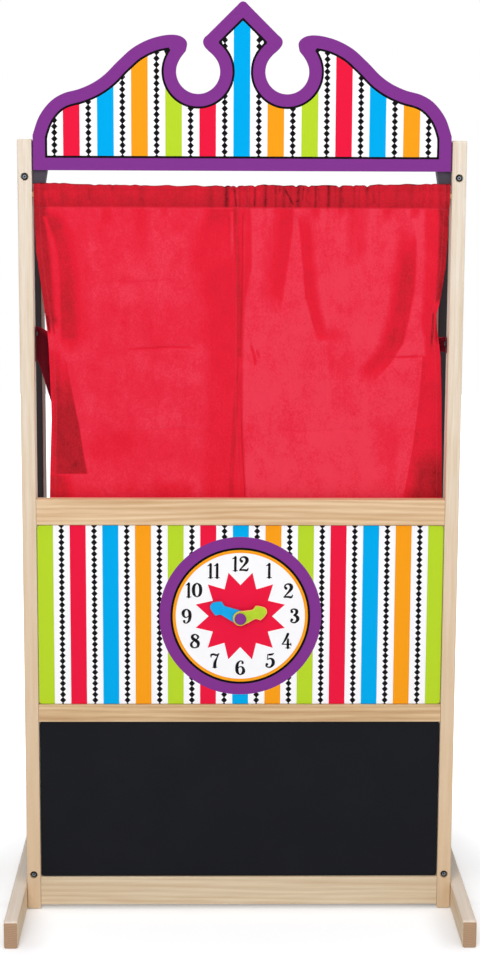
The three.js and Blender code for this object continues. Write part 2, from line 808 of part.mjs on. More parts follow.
const rod = cylinderX(rodRadius, -rodLength / 2, rodLength / 2, 0, 0);
place('curtain_rod', rod, paleWood, 0, rodY, rodZ);
place('left_curtain', curtain(left), redCloth, 0, 0, 0);
place('right_curtain', curtain(right), redCloth, 0, 0, 0);

const tieX = innerHalf - seatGap;
const leftTie = tieBack(left, leftTieTop, leftTieAtPost, leftTieAtCloth, leftTieReach);
const rightTie = tieBack(right, rightTieTop, rightTieAtPost, rightTieAtCloth, rightTieReach);
place('left_tie_back', leftTie, darkRedCloth, -tieX, tieFlapY, leftTieTop);
place('right_tie_back', rightTie, darkRedCloth, tieX, tieFlapY, rightTieTop);

const clock = new THREE.Group();
clock.position.z = clockPivotZ;
stand.add(clock);
const minuteMiddleY = minuteY + handThickness / 2;
const hourMiddleY = hourY + handThickness / 2;
const minuteHand = place('minute_hand', hand(minuteLength), bluePlastic, 0, minuteMiddleY, 0, clock);
minuteHand.rotation.y = -minuteHandAngle;
const hourHand = place('hour_hand', hand(hourLength), greenPlastic, 0, hourMiddleY, 0, clock);
hourHand.rotation.y = -hourHandAngle;
place('back_washer', washer(), nylon, 0, backWasherY + washerThickness / 2, 0, clock);
place('middle_washer', washer(), nylon, 0, midWasherY + washerThickness / 2, 0, clock);
place('clock_pivot', pivot(), zinc, 0, flangeY, 0, clock);
place('hub_cap', hubCap(), purplePlastic, 0, flangeY - (hubThickness - pivotFlange), 0, clock);
place('lock_nut', lockNut(), zinc, 0, panelBackY + seatGap + lockNutHeight / 2, 0, clock);

// Fasteners. A bolt's own axis is +Y and a nut's is X, so a quarter turn points a bolt along X
// and a nut along Y.

const quarter = Math.PI / 2;
const postBoltLength = postDepth - boreDepth + 2 * seatGap + boltGrip;
const railBoltLength = postWidth - boreDepth + 2 * seatGap + boltGrip;
const footBoltLength = footWidth + seatGap + railBoltLength;
const coachLength = footWidth - boreDepth + 2 * seatGap + coachGrip;
const tieScrewLength = tieThickness + 2 * seatGap + tieScrewBite;

for (const { side, label } of sides) {
  const inward = side * quarter;
  for (const [level, z] of [['upper', upperBoltZ], ['lower', lowerBoltZ]]) {
    const x = side * postX;
    const seatY = postFrontY + boreDepth - seatGap;
    place(`${label}_${level}_frame_bolt`, bolt(postBoltLength), steel, x, seatY, z);
    place(`${label}_${level}_frame_nut`, barrelNut(), zinc, x, postBackY + seatGap + nutInset, z);
  }
  for (const [name, z] of [['top', topRailZ], ['middle', middleRailZ], ['bottom', bottomRailZ]]) {
    const nutX = side * (innerHalf - seatGap - nutInset);
    place(`${label}_${name}_rail_nut`, barrelNut(), zinc, nutX, railY, z).rotation.z = quarter;
  }
  for (const [name, z] of [['top', topRailZ], ['middle', middleRailZ]]) {
    const seatX = side * (halfFrame - boreDepth + seatGap);
    place(`${label}_${name}_rail_bolt`, bolt(railBoltLength), steel, seatX, railY, z).rotation.z = inward;
  }
  const footSeatX = side * (footX + footWidth / 2 - boreDepth + seatGap);
  const footBolt = place(`${label}_foot_bolt`, bolt(footBoltLength), steel, footSeatX, railY, bottomRailZ);
  footBolt.rotation.z = inward;
  const coachZ = footHeight / 2;
  const coachScrew = place(`${label}_coach_screw`, bolt(coachLength), steel, footSeatX, uprightY, coachZ);
  coachScrew.rotation.z = inward;
  const tieZ = (side === left ? leftTieTop : rightTieTop) - tieScrewDrop;
  const tieScrewX = side * (innerHalf - tieThickness - 2 * seatGap);
  const tieScrew = place(`${label}_tie_back_screw`, screw(tieScrewLength), zinc, tieScrewX, tieTabY, tieZ);
  tieScrew.rotation.z = -inward;
}

export default stand;
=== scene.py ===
import math

import bpy
import numpy as np
from mathutils import Matrix, Vector
from mathutils.geometry import delaunay_2d_cdt


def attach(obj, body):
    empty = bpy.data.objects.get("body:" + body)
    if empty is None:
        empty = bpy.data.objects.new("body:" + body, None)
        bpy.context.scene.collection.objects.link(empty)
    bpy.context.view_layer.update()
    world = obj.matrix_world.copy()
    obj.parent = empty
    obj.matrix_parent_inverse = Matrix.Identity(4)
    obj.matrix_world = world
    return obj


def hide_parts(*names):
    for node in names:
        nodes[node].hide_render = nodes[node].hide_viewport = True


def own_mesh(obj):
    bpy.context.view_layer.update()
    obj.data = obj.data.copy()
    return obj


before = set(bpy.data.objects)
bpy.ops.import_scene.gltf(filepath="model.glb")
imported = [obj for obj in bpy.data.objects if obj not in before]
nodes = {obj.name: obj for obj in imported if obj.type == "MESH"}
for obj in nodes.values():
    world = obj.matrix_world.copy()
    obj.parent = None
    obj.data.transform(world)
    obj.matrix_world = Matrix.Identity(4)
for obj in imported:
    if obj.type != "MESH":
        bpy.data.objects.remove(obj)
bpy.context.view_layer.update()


# Camera, light and floor

cameraSettings = {
    "imageWidth": 480, "imageHeight": 960, "sensor": 36.0,
    "focalPixels": 1903.0,
    "opticalRow": 441.4,          # image row that the optical axis meets
    "place": (-0.0549, -3.364, 1.3987),
    "pitch": 9.1017, "yaw": 0.9146, "roll": 0.2499,
}


# The focal length in image rows over the image's height sizes the lens; the camera rolls, pitches up
# from looking straight down, and then turns.
def makeCamera(settings):
    data = bpy.data.cameras.new("standCamera")
    data.sensor_width = settings["sensor"]
    data.lens = settings["focalPixels"] / settings["imageHeight"] * settings["sensor"]
    data.shift_y = (settings["opticalRow"] - settings["imageHeight"] / 2) / settings["imageHeight"]
    camera = bpy.data.objects.new("standCamera", data)
    bpy.context.scene.collection.objects.link(camera)
    turn = (Matrix.Rotation(math.radians(-settings["yaw"]), 4, "Z")
            @ Matrix.Rotation(math.radians(90 - settings["pitch"]), 4, "X")
            @ Matrix.Rotation(math.radians(settings["roll"]), 4, "Z"))
    camera.matrix_world = Matrix.Translation(settings["place"]) @ turn
    bpy.context.scene.camera = camera
    return camera


makeCamera(cameraSettings)
bpy.context.scene.view_settings.view_transform = "Standard"


# Shader maths

# A node's output that can stand in a Python expression; each operator adds one Math node.
class Signal:
    def __init__(self, finish, socket):
        self.finish = finish
        self.socket = socket

    def __add__(self, other):
        return self.finish.math("ADD", self, other)

    def __sub__(self, other):
        return self.finish.math("SUBTRACT", self, other)

    def __rsub__(self, other):
        return self.finish.math("SUBTRACT", other, self)

    def __mul__(self, other):
        return self.finish.math("MULTIPLY", self, other)

    def __truediv__(self, other):
        return self.finish.math("DIVIDE", self, other)

    def __lt__(self, other):
        return self.finish.math("LESS_THAN", self, other)

    def __gt__(self, other):
        return self.finish.math("GREATER_THAN", self, other)

    def __mod__(self, other):
        return self.finish.math("FLOORED_MODULO", self, other)

    def __abs__(self):
        return self.finish.math("ABSOLUTE", self)

    __radd__ = __add__
    __rmul__ = __mul__

    def power(self, exponent):
        return self.finish.math("POWER", self, exponent)

    def floor(self):
        return self.finish.math("FLOOR", self)

    def sine(self):
        return self.finish.math("SINE", self)

    def least(self, other):
        return self.finish.math("MINIMUM", self, other)

    def most(self, other):
        return self.finish.math("MAXIMUM", self, other)

    def ramp(self, low, high, fromLevel=0.0, toLevel=1.0):
        settings = {"interpolation_type": "SMOOTHSTEP"}
        inputs = {"Value": self, "From Min": low, "From Max": high, "To Min": fromLevel,
                  "To Max": toLevel}
        return self.finish.node("ShaderNodeMapRange", settings, inputs)


# A material: a Principled shader and the nodes that feed it.
class Finish:
    def __init__(self, name, **sockets):
        self.material = bpy.data.materials.new(name)
        self.material.use_nodes = True
        self.tree = self.material.node_tree
        self.shader = self.tree.nodes["Principled BSDF"]
        for socket, value in sockets.items():
            self.feed(self.shader, socket, value)

    def feed(self, node, socket, value):
        target = node.inputs[socket]
        if isinstance(value, Signal):
            self.tree.links.new(value.socket, target)
        elif hasattr(value, "__len__") and target.type == "RGBA" and len(value) == 3:
            target.default_value = (*value, 1.0)
        else:
            target.default_value = value

    def node(self, kind, settings, inputs, output=0):
        made = self.tree.nodes.new(kind)
        for key, value in settings.items():
            if key == "stops":
                self.setStops(made.color_ramp, value)
            else:
                setattr(made, key, value)
        for socket, value in inputs.items():
            self.feed(made, socket, value)
        return Signal(self, made.outputs[output])

    def setStops(self, ramp, stops):
        while len(ramp.elements) < len(stops):
            ramp.elements.new(0.5)
        for element, (position, color) in zip(ramp.elements, stops):
            element.position = position
            element.color = (*color, 1.0)

    def math(self, operation, *values):
        return self.node("ShaderNodeMath", {"operation": operation}, dict(enumerate(values)))

    def mix(self, factor, first, second):
        inputs = {0: factor, 6: first, 7: second}
        return self.node("ShaderNodeMix", {"data_type": "RGBA"}, inputs, 2)

    def place(self):
        return self.node("ShaderNodeTexCoord", {}, {}, "Object")

    def split(self, vector):
        made = self.node("ShaderNodeSeparateXYZ", {}, {0: vector})
        outputs = made.socket.node.outputs
        return [Signal(self, outputs[axis]) for axis in range(3)]

    def stretch(self, vector, scale):
        return self.node("ShaderNodeMapping", {}, {"Vector": vector, "Scale": scale})

    def noise(self, vector, scale, detail=3.0, roughness=0.5, distortion=0.0):
        inputs = {"Vector": vector, "Scale": scale, "Detail": detail, "Roughness": roughness,
                  "Distortion": distortion}
        return self.node("ShaderNodeTexNoise", {"normalize": True}, inputs)

    def attribute(self, name):
        return self.node("ShaderNodeAttribute", {"attribute_name": name}, {}, "Fac")

    def bump(self, height, strength, distance):
        inputs = {"Height": height, "Strength": strength, "Distance": distance}
        return self.node("ShaderNodeBump", {}, inputs)

    def set(self, **sockets):
        names = {"color": "Base Color", "roughness": "Roughness", "normal": "Normal"}
        for key, value in sockets.items():
            self.feed(self.shader, names[key], value)


# Linear colour of a screen colour from 0 to 255.
def linear(red, green, blue):
    shares = np.array([red, green, blue]) / 255.0
    return tuple(np.where(shares <= 0.04045, shares / 12.92, ((shares + 0.055) / 1.055) ** 2.4).tolist())


# Studio

studio = {
    "worldLight": 0.27,
    "floorSize": 14.0, "floorDrop": 0.0004, "floorColor": (0.93, 0.95, 0.98), "floorGlow": 2.4,
    "glowRadii": (0.44, 0.90), "glowShares": (0.20, 0.65),   # least under the stand, most far from it
    # where the glow drops close to the feet and the bottom rail, it paints a contact shadow
    "footPlace": 0.385, "footReach": 0.20, "railPlace": -0.030, "railReach": 0.40,
    "paintedShadowReach": 0.06, "paintedShadowShare": 0.40,                  # and less again where wood stands on it
    "keyPlace": (-0.9, -3.6, 2.7), "keySize": 1.8, "keyPower": 77.0,
    "fillPlace": (2.2, -2.9, 1.3), "fillSize": 2.0, "fillPower": 20.0,
    "topPlace": (0.1, -0.8, 4.4), "topSize": 2.8, "topPower": 45.0,
    "aim": (0.0, 0.0, 0.85),
}
raysThatSee = ("Is Camera Ray", "Is Glossy Ray", "Is Transmission Ray")


# Plain light on the stand, and white where the world itself is seen, straight or in a mirror.
def makeWorld(settings):
    world = bpy.data.worlds.new("studioWorld")
    bpy.context.scene.world = world
    world.use_nodes = True
    tree = world.node_tree
    tree.nodes.clear()
    path = tree.nodes.new("ShaderNodeLightPath")
    seen = path.outputs[raysThatSee[0]]
    for ray in raysThatSee[1:]:
        either = tree.nodes.new("ShaderNodeMath")
        either.operation = "MAXIMUM"
        tree.links.new(seen, either.inputs[0])
        tree.links.new(path.outputs[ray], either.inputs[1])
        seen = either.outputs[0]
    light = tree.nodes.new("ShaderNodeBackground")
    light.inputs["Strength"].default_value = settings["worldLight"]
    light.inputs["Color"].default_value = (1, 1, 1, 1)
    backdrop = tree.nodes.new("ShaderNodeBackground")
    backdrop.inputs["Color"].default_value = (1, 1, 1, 1)
    mix = tree.nodes.new("ShaderNodeMixShader")
    tree.links.new(seen, mix.inputs["Fac"])
    tree.links.new(light.outputs[0], mix.inputs[1])
    tree.links.new(backdrop.outputs[0], mix.inputs[2])
    out = tree.nodes.new("ShaderNodeOutputWorld")
    tree.links.new(mix.outputs[0], out.inputs["Surface"])


# A square lamp that faces the middle of the stand.
def makeLamp(name, settings):
    data = bpy.data.lights.new(name + "Lamp", "AREA")
    data.size = settings[name + "Size"]
    data.energy = settings[name + "Power"]
    lamp = bpy.data.objects.new(name + "Lamp", data)
    bpy.context.scene.collection.objects.link(lamp)
    lamp.location = settings[name + "Place"]
    direction = Vector(settings["aim"]) - Vector(settings[name + "Place"])
    lamp.rotation_euler = direction.to_track_quat("-Z", "Y").to_euler()
    lamp.visible_glossy = False


# A white floor that keeps the stand's shadow. Only what sees it directly gets its glow, whose share grows
# with the distance from the stand, and shrinks close to the feet and the bottom rail, which paints a
# contact shadow there.
def makeFloor(settings):
    half = settings["floorSize"] / 2
    mesh = bpy.data.meshes.new("studioFloor")
    corners = [(-half, -half, 0), (half, -half, 0), (half, half, 0), (-half, half, 0)]
    mesh.from_pydata(corners, [], [(0, 1, 2, 3)])
    floor = bpy.data.objects.new("studioFloor", mesh)
    floor.location.z = -settings["floorDrop"]
    bpy.context.scene.collection.objects.link(floor)
    paper = Finish("studioPaper", **{"Roughness": 0.9, "Base Color": settings["floorColor"]})
    x, y, z = paper.split(paper.place())
    share = (x * x + y * y).power(0.5).ramp(*settings["glowRadii"], *settings["glowShares"])
    # Less glow within reach of the feet and the bottom rail: a painted contact shadow.
    besideFoot, pastFoot = abs(abs(x) - settings["footPlace"]), (abs(y) - settings["footReach"]).most(0)
    toFoot = (besideFoot * besideFoot + pastFoot * pastFoot).power(0.5)
    toRail = abs(y - settings["railPlace"]) + (abs(x) - settings["railReach"]).most(0)
    share = share * toFoot.least(toRail).ramp(0.0, settings["paintedShadowReach"], settings["paintedShadowShare"], 1.0)
    sees = [paper.node("ShaderNodeLightPath", {}, {}, ray) for ray in raysThatSee]
    seen = sees[0].most(sees[1]).most(sees[2])
    glow = paper.node("ShaderNodeEmission", {}, {"Color": (1, 1, 1), "Strength": settings["floorGlow"]})
    blend = paper.node("ShaderNodeMixShader", {}, {0: share * seen, 2: glow})
    paper.tree.links.new(paper.shader.outputs[0], blend.socket.node.inputs[1])
    out = paper.tree.nodes["Material Output"]
    paper.tree.links.new(blend.socket, out.inputs["Surface"])
    mesh.materials.append(paper.material)


makeWorld(studio)
for name in ("key", "fill", "top"):
    makeLamp(name, studio)
makeFloor(studio)
print("camera, lamps and floor are ready")


# Wood, paint and metal

woodSettings = {
    # The posts turn deeper in tone towards the floor: partly painted shade of the light from above, partly
    # the wood's own yellower tone low down.
    "postGrain": {"along": "Z", "light": linear(239, 228, 214), "dark": linear(208, 182, 146),
                  "pitch": 0.0125, "bend": 14.0, "ringShare": 0.16, "streakShare": 0.40,
                  "fibreShare": 0.24, "streakScale": 150.0, "low": linear(220, 186, 144),
                  "lowHeights": (1.35, 0.1), "lowShare": 0.75},   # deeper in tone towards the floor
    "railGrain": {"along": "X", "light": linear(230, 211, 182), "dark": linear(200, 168, 130),
                  "pitch": 0.0105, "bend": 26.0, "ringShare": 0.30, "streakShare": 0.34,
                  "fibreShare": 0.20},
    "topRailGrain": {"along": "X", "light": linear(238, 210, 172), "dark": linear(196, 150, 104),
                     "pitch": 0.0105, "bend": 26.0, "ringShare": 0.34, "streakShare": 0.42,
                     "fibreShare": 0.20},
    "middleRailGrain": {"along": "X", "light": linear(230, 200, 158), "dark": linear(182, 138, 94),
                        "pitch": 0.0100, "bend": 26.0, "ringShare": 0.34, "streakShare": 0.42,
                        "fibreShare": 0.20},
    # The feet's top faces get a paler tone: painted light from above.
    "footGrain": {"along": "Y", "light": linear(238, 218, 190), "dark": linear(212, 180, 142),
                  "pitch": 0.0100, "bend": 10.0, "ringShare": 0.30, "streakShare": 0.35,
                  "fibreShare": 0.2, "top": linear(248, 236, 222), "litTopShare": 0.35,
                  "end": linear(186, 152, 122), "pithAcross": 0.392, "pithDepth": 0.030,
                  "endPitch": 0.0042, "endWobble": 0.004, "endShare": 0.35, "endDark": 0.62},
    "cleatGrain": {"along": "X", "light": linear(232, 206, 166), "dark": linear(206, 168, 122),
                   "pitch": 0.0060, "bend": 12.0, "ringShare": 0.4, "streakShare": 0.35,
                   "fibreShare": 0.25},
    # The rear uprights' wood is given a dark brown: painted shade, as they stand in shadow behind the
    # posts.
    "uprightShadedGrain": {"along": "Z", "light": linear(150, 104, 80), "dark": linear(112, 72, 54),
                     "pitch": 0.0140, "bend": 14.0, "ringShare": 0.4, "streakShare": 0.3,
                     "fibreShare": 0.4, "front": linear(56, 52, 56)},   # its front face is painted
}
grainSettings = {
    "slowStretch": 0.05, "fibreStretch": 0.012,   # a noise's scale along the grain over that across it
    "slowScale": 22.0, "fibreScale": 900.0, "streakScale": 85.0, "fibreDepth": 0.0004,
}


# Tone of a sawn end: rings round a pith below it, by the distance from that pith.
def endGrain(wood, parts, settings):
    fromPith = parts[2] + settings["pithDepth"]
    across = abs(parts[0]) - settings["pithAcross"]
    radius = (across * across + fromPith * fromPith).power(0.5)
    wobble = wood.noise(wood.place(), 60.0, 2.0, 0.5)
    turns = (radius + wobble * settings["endWobble"]) * (2 * math.pi / settings["endPitch"])
    ring = turns.sine() * 0.5 + 0.5
    dark = tuple(settings["endDark"] * c for c in settings["end"])
    return wood.mix(ring * settings["endShare"], settings["end"], dark)


# Wood with its grain along one axis: rings are a sine of the place across the grain, bent by a slow
# noise that is stretched along it; fibres are a fine noise stretched much further.
def makeWood(name, settings):
    wood = Finish(name, **{"Specular IOR Level": 0.18})
    place = wood.place()
    axis = "XYZ".index(settings["along"])
    slowStretch, fibreStretch = [1.0, 1.0, 1.0], [1.0, 1.0, 1.0]
    slowStretch[axis] = grainSettings["slowStretch"]
    fibreStretch[axis] = grainSettings["fibreStretch"]
    slow = wood.noise(wood.stretch(place, slowStretch), grainSettings["slowScale"], 3.0, 0.5, 0.3)
    fibre = wood.noise(wood.stretch(place, fibreStretch), grainSettings["fibreScale"], 2.0, 0.6)
    streakScale = settings.get("streakScale", grainSettings["streakScale"])
    streak = wood.noise(wood.stretch(place, slowStretch), streakScale, 4.0, 0.6, 0.2)
    parts = wood.split(place)
    across = [parts[i] for i in range(3) if i != axis]
    turns = (across[0] * 0.8 + across[1]) * (2 * math.pi / settings["pitch"]) + slow * settings["bend"]
    ring = turns.sine() * 0.5 + 0.5
    shade = ring * settings["ringShare"] + streak.ramp(0.30, 0.72) * settings["streakShare"]
    shade = shade + fibre.ramp(0.45, 0.75) * settings["fibreShare"]
    color = wood.mix(shade.least(1.0), settings["light"], settings["dark"])
    # Towards the floor the colour moves to the deeper low tone: partly painted shade, partly the wood's own
    # tone.
    if "low" in settings:
        lowness = parts[2].ramp(*settings["lowHeights"], 0.0, settings["lowShare"])
        color = wood.mix(lowness, color, settings["low"])
    if "end" in settings:
        # Top faces are made paler: painted light from above.
        paintedLitTop = wood.mix(shade.least(1.0) * settings["litTopShare"], settings["top"], settings["dark"])
        color = wood.mix(facing(wood, 2, 0.5), paintedLitTop, color)
        color = wood.mix(facing(wood, 1, -0.75), color, endGrain(wood, parts, settings))
    if "front" in settings:
        color = wood.mix(facing(wood, 1, -0.5), color, settings["front"])
    wood.set(color=color, roughness=streak.ramp(0.2, 0.8, 0.5, 0.66),
             normal=wood.bump(fibre + ring * 0.4, 0.25, grainSettings["fibreDepth"]))
    return wood.material


# 1 where the surface's own normal is below a value along an axis, else 0.
def facing(finish, axis, below):
    normal = finish.node("ShaderNodeNewGeometry", {}, {}, "Normal")
    return finish.split(normal)[axis] < below


paintSettings = {
    "charcoalPaint": {"color": linear(76, 70, 80), "worn": linear(84, 76, 86), "roughness": 0.6,
                      "flecks": 260.0, "depth": 0.00012, "gloss": 0.15},
    "slatePaint": {"color": linear(27, 28, 32), "worn": linear(31, 32, 36), "roughness": 0.78,
                   "flecks": 420.0, "depth": 0.00008, "gloss": 0.06},
    "purplePlastic": {"color": linear(134, 56, 146), "worn": linear(126, 50, 138), "roughness": 0.4,
                      "flecks": 500.0, "depth": 0.00003, "gloss": 0.15},
    "nylonPlastic": {"color": linear(236, 234, 228), "worn": linear(226, 224, 216), "roughness": 0.45,
                     "flecks": 500.0, "depth": 0.00003, "gloss": 0.15},
}
metalSettings = {
    "boltSteel": {"color": (0.30, 0.32, 0.34), "roughness": 0.30},
    "blackZinc": {"color": (0.10, 0.10, 0.11), "roughness": 0.45},
    "zincPlate": {"color": (0.5, 0.51, 0.52), "roughness": 0.36},
}
# Bolt heads: a dark ring at the edge and a dark recess, both painted shade.
boltHead = {
    "edge": (0.0026, 0.0036), "recess": (0.0019, 0.0015), "roughness": (0.26, 0.38),
    "steel": linear(158, 168, 178), "edgeShadeColor": linear(42, 40, 42), "recessShadeColor": linear(46, 50, 58),
}


# Brushed or rolled paint, or plastic: a fine stipple for the bump, a slow noise for the worn tone.
def makePaint(name, settings):
    paint = Finish(name, **{"Specular IOR Level": settings["gloss"]})
    place = paint.place()
    stipple = paint.noise(place, settings["flecks"], 3.0, 0.6)
    cloud = paint.noise(place, 9.0, 4.0, 0.55)
    level = settings["roughness"]
    paint.set(color=paint.mix(cloud.ramp(0.35, 0.8), settings["color"], settings["worn"]),
              roughness=cloud.ramp(0.2, 0.8, level - 0.06, level + 0.06),
              normal=paint.bump(stipple, 0.35, settings["depth"]))
    return paint.material


# Plated or bare steel: a noise squeezed along the height for scratches, a cloud for the dull places.
def makeMetal(name, settings):
    metal = Finish(name, Metallic=1.0)
    place = metal.place()
    scratch = metal.noise(metal.stretch(place, (1.0, 1.0, 6.0)), 700.0, 2.0, 0.6)
    cloud = metal.noise(place, 60.0, 3.0, 0.5)
    level, dull = settings["roughness"], tuple(0.78 * c for c in settings["color"])
    metal.set(color=metal.mix(cloud.ramp(0.3, 0.8), settings["color"], dull),
              roughness=scratch.ramp(0.3, 0.7, level - 0.05, level + 0.08),
              normal=metal.bump(scratch, 0.2, 0.00005))
    return metal.material


# Steel head with a recess in its middle and a darker rounded edge, by the distance from its axis; the dark
# edge and recess are painted shade, of the gap round the head and of the socket.
def makeBoltHead(name, node, settings):
    metal = Finish(name, Metallic=1.0)
    corners = np.array([corner.co for corner in nodes[node].data.vertices])
    middle = (corners.min(axis=0) + corners.max(axis=0)) / 2
    x, y, z = metal.split(metal.place())
    across, up = x - float(middle[0]), z - float(middle[2])
    away = (across * across + up * up).power(0.5)
    scratch = metal.noise(metal.place(), 900.0, 2.0, 0.6)
    color = metal.mix(away.ramp(*settings["edge"]), settings["steel"], settings["edgeShadeColor"])
    color = metal.mix(away.ramp(*settings["recess"]), color, settings["recessShadeColor"])
    metal.set(color=color, roughness=scratch.ramp(0.3, 0.7, *settings["roughness"]),
              normal=metal.bump(scratch, 0.2, 0.00005))
    return metal.material


woods = {name: makeWood(name, settings) for name, settings in woodSettings.items()}
paints = {name: makePaint(name, settings) for name, settings in paintSettings.items()}
metals = {name: makeMetal(name, settings) for name, settings in metalSettings.items()}


# Printed boards

printSettings = {
    "gloss": 0.05, "stripe": 0.0285,
    "diamondHalfWidth": 0.0055, "diamondHalfHeight": 0.0061,
    "white": linear(252, 251, 253), "black": linear(16, 12, 16),
    "purple": linear(129, 54, 141),
    "blue": linear(0, 171, 236), "orange": linear(250, 160, 27),
    "green": linear(185, 216, 45), "red": linear(237, 27, 64),
}
clockPanelPrint = {**printSettings, "pitch": 0.0580, "shift": 0.0003, "last": 6.5,
                   "diamondPitch": 0.01036, "diamondRest": 0.5502}
pedimentPrint = {**printSettings, "pitch": 0.0585, "shift": -0.0014, "last": 5.5,
                 "diamondPitch": 0.01048, "diamondRest": 1.3936}


# Colour of the striped print from the place across and up the board: the stripe's number is the
# place over the pitch, rounded down, and its remainder by four picks the colour.
def stripes(board, settings):
    x, y, z = board.split(board.place())
    pitch = settings["pitch"]
    x = x - settings["shift"]
    number = (x / pitch + 0.5).floor()
    fromStripe = abs(x - number * pitch)
    which = number % 4.0
    color = board.mix(which > 0.5, settings["blue"], settings["orange"])
    color = board.mix(which > 1.5, color, settings["green"])
    color = board.mix(which > 2.5, color, settings["red"])
    inStripe = (fromStripe < settings["stripe"] / 2) * (abs(number) < settings["last"])
    field = board.mix(inStripe, settings["white"], color)
    fromGap = pitch / 2 - fromStripe
    step = settings["diamondPitch"]
    fromDiamond = abs((z - settings["diamondRest"] + step / 2) % step - step / 2)
    reach = fromGap / settings["diamondHalfWidth"] + fromDiamond / settings["diamondHalfHeight"]
    return board.mix(reach < 1.0, field, settings["black"])


# Bare fibreboard: a mottled brown with short fibres.
def boardBack(board):
    place = board.place()
    fibre = board.noise(board.stretch(place, (1.0, 1.0, 0.4)), 380.0, 4.0, 0.7)
    return board.mix(fibre.ramp(0.3, 0.7), linear(176, 134, 92), linear(150, 108, 70))


# A printed or bare board: a cloud for its roughness and a fine noise for its bump.
def coated(board, color):
    place = board.place()
    grain = board.noise(place, 700.0, 2.0, 0.5)
    cloud = board.noise(place, 12.0, 3.0, 0.5)
    board.set(color=color, roughness=cloud.ramp(0.3, 0.7, 0.42, 0.5),
              normal=board.bump(grain, 0.15, 0.00004))


dialSettings = {
    "centre": 0.5503, "purpleRadius": 0.1450, "lineRadius": 0.1252, "orangeRadius": 0.1210,
    "whiteRadius": 0.1157, "starOuter": 0.0826, "starInner": 0.0570, "starPoints": 12,
    "numberRadius": 0.0963, "numberHeight": 0.0267, "numberWeight": 1.3, "numberGap": 0.10,
    "numberLift": 0.00025,
    "numberShift": {1: (0.0025, 0.0004), 2: (0.0021, -0.0012), 3: (0.0004, 0.0008), 4: (-0.0002, 0.0024),
                    5: (0.0050, 0.0018), 6: (0.0002, 0.0009), 7: (0.0025, 0.0018), 8: (0.0021, 0.0024)},
}


# Stripes with the dial over them: rings by the distance from the middle, and a star whose edge is
# the straight line from an outer point to the next inner one, folded round the circle.
def makeClockPrint(settings, dial):
    board = Finish("clockPrint", **{"Specular IOR Level": settings["gloss"]})
    color = stripes(board, settings)
    x, y, z = board.split(board.place())
    up = z - dial["centre"]
    radius = (x * x + up * up).power(0.5)
    for limit, tone in (("purpleRadius", "purple"), ("lineRadius", "black"), ("orangeRadius", "orange"),
                        ("whiteRadius", "white")):
        color = board.mix(radius < dial[limit], color, settings[tone])
    step = 2 * math.pi / dial["starPoints"]
    angle = board.math("ARCTAN2", up, x)
    folded = abs((angle + step) % step - step / 2)   # 0 at an outer point, step / 2 at an inner one
    outer, inner = dial["starOuter"], dial["starInner"]
    normalX = inner * math.sin(step / 2)
    normalY = outer - inner * math.cos(step / 2)
    reach = radius * (board.math("COSINE", folded) * normalX + folded.sine() * normalY)
    color = board.mix(reach < outer * normalX, color, settings["red"])
    color = board.mix(facing(board, 1, -0.5), boardBack(board), color)
    coated(board, color)
    return board.material


clockPrint = makeClockPrint(clockPanelPrint, dialSettings)


# New pieces

# 0 at low and 1 at high, level at both: three times the share squared less twice the share cubed.
def smoothstep(low, high, value):
    share = np.clip((value - low) / (high - low), 0, 1)
    return share * share * (3 - 2 * share)


# A piece from corners (count, 3) and faces (count, 3 or 4) given as arrays.
def meshPiece(name, corners, faces, material, body="stand", smooth=True):
    mesh = bpy.data.meshes.new(name)
    corners = np.asarray(corners, dtype=np.float32)
    faces = np.asarray(faces, dtype=np.int32)
    mesh.vertices.add(len(corners))
    mesh.vertices.foreach_set("co", corners.ravel())
    mesh.loops.add(faces.size)
    mesh.loops.foreach_set("vertex_index", faces.ravel())
    mesh.polygons.add(len(faces))
    mesh.polygons.foreach_set("loop_start", np.arange(len(faces), dtype=np.int32) * faces.shape[1])
    mesh.polygons.foreach_set("use_smooth", np.full(len(faces), smooth))
    mesh.update(calc_edges=True)
    mesh.validate()
    piece = bpy.data.objects.new(name, mesh)
    bpy.context.scene.collection.objects.link(piece)
    mesh.materials.append(material)
    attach(piece, body)
    return piece


# Faces of a grid of points; seen with columns to the right and rows up, they face the viewer.
def gridFaces(rows, columns):
    first = (np.arange(rows - 1)[:, None] * columns + np.arange(columns - 1)[None, :]).ravel()
    return np.stack([first, first + 1, first + columns + 1, first + columns], axis=1)


# A number at each point of a piece, for its material to read.
def setAttribute(piece, name, values):
    made = piece.data.attributes.new(name, "FLOAT", "POINT")
    made.data.foreach_set("value", np.asarray(values, dtype=np.float32).ravel())


# Boards with a border that follows their outline: the pediment and the two clock hands

# The closed outlines, each (count, 2), of a board's front face, the longest first, from the edges
# that only one of its faces uses.
def outlinesOf(node, front):
    mesh = nodes[node].data
    corners = np.empty(len(mesh.vertices) * 3)
    mesh.vertices.foreach_get("co", corners)
    corners = corners.reshape(-1, 3)
    places, same = np.unique(np.round(corners, 6), axis=0, return_inverse=True)
    same = same.ravel()
    uses = {}
    for polygon in mesh.polygons:
        ring = [int(same[i]) for i in polygon.vertices]
        if all(abs(places[i][1] - front) < 1e-4 for i in ring):
            for start, end in zip(ring, ring[1:] + ring[:1]):
                uses[(start, end)] = True
    following = {start: end for start, end in uses if (end, start) not in uses}
    rings = []
    while following:
        ring = [min(following)]
        while following[ring[-1]] != ring[0]:
            ring.append(following.pop(ring[-1]))
        following.pop(ring[-1])
        rings.append(places[ring][:, [0, 2]])
    return sorted(rings, key=lambda ring: -np.ptp(ring, axis=0).max())


